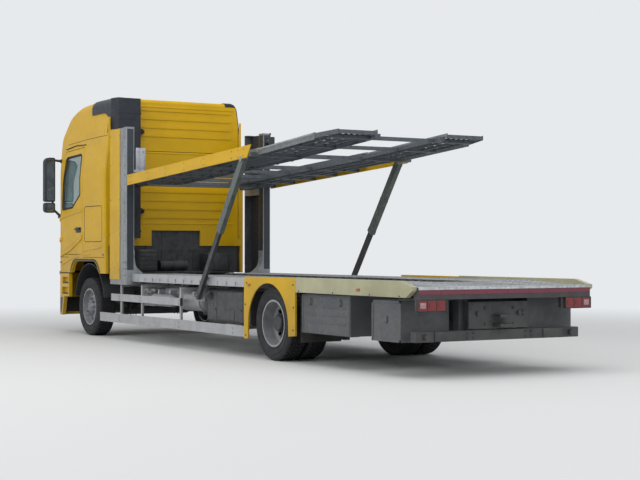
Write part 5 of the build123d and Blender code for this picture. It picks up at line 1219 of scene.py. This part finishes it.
# Each cluster: a black rubber frame round three chambers, two of them with raised red rounds and one
# with a pale corner.
LAMP_Y0, LAMP_Y1, LAMP_Z0, LAMP_Z1 = 0.85, 1.21, 0.75, 0.862
LAMP_MIDDLE = 0.806
FRAME = 0.012
dress(lamp_red, "tail_lamps")
build("tail_lamp_frames", seal_rubber, "plastic_black", at=REAR_X, smooth=None,
    boxes=[((-0.005, y0, z0), (0.026, y1, z1), 0.002)
        for y0, z0, y1, z1 in ((LAMP_Y0 - FRAME, LAMP_Z0 - FRAME, LAMP_Y1 + FRAME, LAMP_Z0),
            (LAMP_Y0 - FRAME, LAMP_Z1, LAMP_Y1 + FRAME, LAMP_Z1 + 0.008),
            (LAMP_Y0 - FRAME, LAMP_Z0, LAMP_Y0, LAMP_Z1),
            (LAMP_Y1, LAMP_Z0, LAMP_Y1 + FRAME, LAMP_Z1),
            (0.965, LAMP_Z0, 0.971, LAMP_Z1), (1.085, LAMP_Z0, 1.091, LAMP_Z1))])
build("tail_lamp_rounds", lamp_red, "lamp_red", at=REAR_X,
    rods=[((-0.004, y, LAMP_MIDDLE), (0.002, y, LAMP_MIDDLE), 0.04, 28) for y in (0.908, 1.028)]
    + [((-0.0055, y, LAMP_MIDDLE), (-0.003, y, LAMP_MIDDLE), 0.022, 24) for y in (0.908, 1.028)])
build("tail_lamp_clear", lens_plastic("pale_lens", (0.42, 0.24, 0.25), 0.05), "lamp_clear", at=REAR_X,
    boxes=[((-0.006, 1.112, 0.775), (0.002, 1.188, 0.838), 0.006, 2)])
bm = rows_in(bmesh.new(), boxes=[((-0.012, 0.62, 0.405), (0, 0.9, 0.51), 0.004, 2)],
    rods=[((-0.045, 1.02, 0.458), (0, 1.02, 0.458), 0.03, 18)],
    bolts=[((0, y, z), BACK, 0.018) for y in (0.37, 0.45, 1.05) for z in (0.43, 0.485)])
both_sides(bm)
sockets = (-0.34, -0.28, 0.3)
build("rear_bolts_and_sockets", chassis_black, "chassis_black", at=BAR_X, bm=bm, both=False,
    rods=[((-0.01, y, 0.7), (0.04, y, 0.7), 0.024, 16) for y in sockets]
    + [((-0.015, y, 0.7), (-0.01, y, 0.7), 0.028, 16) for y in sockets],
    bolts=[((0.01, y, z), BACK, 0.026) for y in (-0.2, 0.2) for z in (0.58, 0.76)])


# Upper deck: folded tracks of punched plate on girders, hinged at the carriage and falling towards the
# cab, with yellow side plates at the front and a thinner tail. The punched planks stand in the place
# of the plain trays; frame and skirts are galvanised and darkened underneath as painted shade.
UPPER_SLOPE = math.radians(3)
TAIL_SLOPE = math.radians(4.2)
UPPER_IN = 0.52
UPPER_OUT = 1.165
UPPER_FRONT = 4.5
UPPER_JOINT = 0.45
BEAM_FRONT = 4.53
BEAM_MIDDLE = 2.49
BEAM_FACE = 1.2625
TAIL_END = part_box("upper_deck_tracks")[0].x - REAR
TAIL_TAPER_BACK = 0.42
TAIL_TAPER_IN = 0.09
UPPER_FOLD = 0.018
TAPER_FROM = TAIL_END + TAIL_TAPER_BACK


def upper_slope(x):
    return UPPER_SLOPE if x >= UPPER_JOINT else TAIL_SLOPE


def upper_z(x):
    """Height of the upper deck's middle line, steeper along the tail, ahead of the rear axle."""
    if x >= UPPER_JOINT:
        return BEAM_MIDDLE + (BEAM_FRONT - x) * math.tan(UPPER_SLOPE)
    return upper_z(UPPER_JOINT) + (UPPER_JOINT - x) * math.tan(TAIL_SLOPE)


def tapered(x):
    """How far the tail's last stretch is drawn in, as a share."""
    return max(0.0, 1 - (x - TAIL_END) / TAIL_TAPER_BACK)


def bars_in(bm, rows):
    """Straight bars along the deck, from rows of x0, x1, y0, y1, then how far their faces lie below
    or above the middle line, a bevel, and how far the tail draws them in."""
    for x0, x1, y0, y1, low, high, *more in rows:
        bevel, inward = (*more, 0.0, 0.0)[:2]
        bar = bmesh.new()
        middle = (x0 + x1) / 2
        box_in(bar, (x0 - middle, y0, low), (x1 - middle, y1, high), bevel)
        for vert in bar.verts:
            vert.co.z += -vert.co.x * math.tan(upper_slope(middle)) + upper_z(middle)
            vert.co.x += middle
            vert.co.y -= inward * tapered(vert.co.x)
        merge_in(bm, bar)


def build_upper(name, material, slot, rows):
    bm = bmesh.new()
    bars_in(bm, rows)
    return keep(bm, name, material, slot, REAR, None, "upper_deck")


# Dark zinc for what lies under the upper deck, its darkness painted shade.
under_shade_zinc = zinc("under_shade_zinc", (0.085, 0.1, 0.115), 0.9, 18.0)
dress(under_shade_zinc, "upper_deck_frame")
upper_zinc = zinc_sheet("upper_plank_zinc", (0.19, 0.21, 0.225), 0.6)
# Pale zinc for the rims, painted light where their tops are lit.
lit_rim_zinc = zinc_sheet("upper_rim_zinc", (0.36, 0.385, 0.4), 0.35)
bm = bmesh.new()
full = punched_plank(UPPER_OUT - UPPER_IN, UPPER_FOLD)
x = UPPER_FRONT - PLANK_PITCH / 2
while x - PLANK_PITCH / 2 > TAIL_END:
    place = Matrix.Translation((x, UPPER_IN, upper_z(x) - 0.001)) @ Matrix.Rotation(upper_slope(x), 4, "Y")
    inward = TAIL_TAPER_IN * tapered(x - PLANK_PITCH / 2)
    stamp(bm, full if inward < 0.001 else punched_plank(UPPER_OUT - inward - UPPER_IN, UPPER_FOLD), place)
    x -= PLANK_PITCH
upper_planks = keep(bm, "upper_deck_planks", upper_zinc, "deck_grey", REAR, None, "upper_deck")
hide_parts("upper_deck_tracks")

# Folded rims along both edges of each track, pale on the front part, their paleness painted light on
# their lit tops. The tail's outer skirt is deeper and follows its taper, with a strip across the end.
build_upper("upper_track_rims", lit_rim_zinc, "deck_grey", [
        (UPPER_JOINT, UPPER_FRONT, y0, y1, low, 0.04) for y0, y1, low in (
            (UPPER_IN, UPPER_IN + 0.004, -0.02), (UPPER_IN, UPPER_IN + 0.02, 0.036),
            (UPPER_OUT - 0.004, UPPER_OUT, -0.02), (UPPER_OUT - 0.02, UPPER_OUT, 0.036))])
build_upper("tail_skirts", upper_zinc, "deck_grey", [
        (TAIL_END, UPPER_JOINT, UPPER_IN, UPPER_IN + 0.004, -0.02, 0.03),
        (TAPER_FROM, UPPER_JOINT, UPPER_OUT - 0.005, UPPER_OUT, -0.055, 0.03),
        (TAPER_FROM, UPPER_JOINT, UPPER_OUT - 0.022, UPPER_OUT, 0.026, 0.03)])
build_upper("tail_ends", under_shade_zinc, "deck_grey", [
        (TAIL_END, TAPER_FROM, UPPER_OUT - 0.005, UPPER_OUT, -0.038, 0.02, 0.0, TAIL_TAPER_IN),
        (TAIL_END, TAIL_END + 0.005, UPPER_IN, UPPER_OUT - TAIL_TAPER_IN, -0.034, 0.012)])
build_upper("tail_pale_edges", lit_rim_zinc, "deck_grey", [
        (TAIL_END + 0.45, UPPER_JOINT, UPPER_OUT - 0.003, UPPER_OUT + 0.0015, 0.014, 0.0305)])

# Under the deck: stiffeners below the planks, the pipes that feed its lamps and the lashing bars.
build_upper("upper_deck_stiffeners", under_shade_zinc, "galvanised", [
        *[(0.6, 4.2, y - 0.015, y + 0.015, -0.068, -0.02) for y in (0.66, 0.84, 1.02)],
        *[(-1.05, 0.35, y - 0.012, y + 0.012, -0.05, -0.02) for y in (0.66, 0.84, 1.02)],
        *[(-1.1, 0.42, y - 0.006, y + 0.006, low + 0.012, low + 0.024)
            for y, low in ((0.505, -0.085), (0.485, -0.083))],
        *[(0.47, 4.1, y - 0.006, y + 0.006, low, low + 0.012)
            for y, low in ((0.505, -0.085), (0.485, -0.083))],
        *[(x - 0.02, x + 0.02, 0.47, 0.53, -0.088, -0.07) for x in run(0.75, 0.4, 9)],
        (1.6, 4.5, 1.168, 1.2612, 0.02, 0.03)])

# The yellow side plates: folded lips, a strip at each end, bolts, and a cap over the strut's eye
# at the rear.
build_upper("beam_lips", cab_yellow, "cab_yellow", [
        (0.46, 4.53, 1.2575, BEAM_FACE, 0.0755, 0.0795, 0.001),
        (0.57, 4.53, 1.258, BEAM_FACE, -0.0795, -0.0755, 0.001),
        *[(x - 0.005, x + 0.005, 1.258, BEAM_FACE, -0.075, 0.075) for x in (4.52, 0.58)]])
build("beam_bolts", post_zinc, "galvanised", at=REAR, body="upper_deck",
    rods=[((0.74, 1.2685, 2.61), (0.74, 1.2765, 2.61), 0.034, 20)],
    bolts=[((x, 1.2695, upper_z(x) + dz), OUT, 0.013) for dz in (-0.045, 0.045)
        for x in (4.44, 4.36, 3.76, 3.12, 2.48, 1.85, 1.0, 0.82, 0.66)])

# A lashing winch stands on the left track's rim just behind the yellow plate.
z = upper_z(0.22) + 0.03
build("lashing_winch", dark_steel_and_hole_shade, "chassis_black", at=rear(0.22), body="upper_deck", both=False,
    boxes=[*[((x - 0.004, 1.075, z - 0.002), (x + 0.004, 1.16, z + 0.115), 0.002) for x in (-0.055, 0.055)],
        ((-0.07, 1.07, z - 0.003), (0.07, 1.163, z + 0.003), 0.001)],
    rods=[((-0.055, 1.118, z + 0.062), (0.055, 1.118, z + 0.062), 0.03, 20),
        ((0.055, 1.118, z + 0.062), (0.075, 1.118, z + 0.062), 0.04, 12),
        ((0.02, 1.118, z + 0.075), (-0.02, 1.118, z + 0.165), 0.01, 10)])


# Struts: two-part telescopic legs. The black inner tube stands on the foot pin and the galvanised
# sleeve slides on it up to the deck, with a reinforced mouth, lock holes and grease nipples.
FOOT = Vector((rear(2.1), 1.222, 0.76))
EYE = Vector((rear(0.74), 1.222, 2.61))
SLEEVE_LENGTH = 1.18
MOUTH = (EYE - FOOT).length - SLEEVE_LENGTH
along = (EYE - FOOT).normalized()
STRUT = Matrix.Translation(FOOT) @ Matrix(((along.z, 0, -along.x), OUT, along)).transposed().to_4x4()
sleeve_zinc = zinc("sleeve_zinc", (0.115, 0.135, 0.125), 0.4, 16.0, 0.7)
dress(sleeve_zinc, "strut_sleeve_left", "strut_sleeve_right")


def on_strut(side, out, up):
    """A point measured to the strut's side, out from its middle plane and up along it from its foot."""
    return STRUT @ Vector((side, out, up))


bm = bmesh.new()
for low, high, grow in ((MOUTH + 0.001, MOUTH + 0.06, 0.005), (MOUTH + 0.56, MOUTH + 0.585, 0.0035)):
    rows_in(bm, boxes=[((-0.0555, 0.0325, low), (0.0555, 0.033 + grow, high), 0.001),
            ((-0.0555, -0.033 - grow, low), (0.0555, -0.0325, high), 0.001),
            ((0.0545, -0.033, low), (0.055 + grow, 0.033, high), 0.001),
            ((-0.055 - grow, -0.033, low), (-0.0545, 0.033, high), 0.001)])
bmesh.ops.transform(bm, matrix=STRUT, verts=bm.verts)
build("sleeve_collars_", sleeve_zinc, "galvanised", bm=bm, body="strut_sleeve_",
    rods=[(on_strut(0.02, 0.032, MOUTH + 0.4), on_strut(0.02, 0.044, MOUTH + 0.4), 0.007, 8)],
    bolts=[(on_strut(0, 0.032, MOUTH + up), OUT, 0.013) for up in (0.12, 0.18, 0.24)])
# Dark discs on the inner tube paint in the shade of its lock holes.
build("tube_lock_hole_shade_", dark_steel_and_hole_shade, "chassis_black", body="strut_tube_",
    rods=[(on_strut(0, 0.0225, up), on_strut(0, 0.0232, up), 0.012, 14)
        for up in run(0.16, 0.085, 7)],
    bolts=[(on_strut(0, 0.023, 0), OUT, 0.03)])
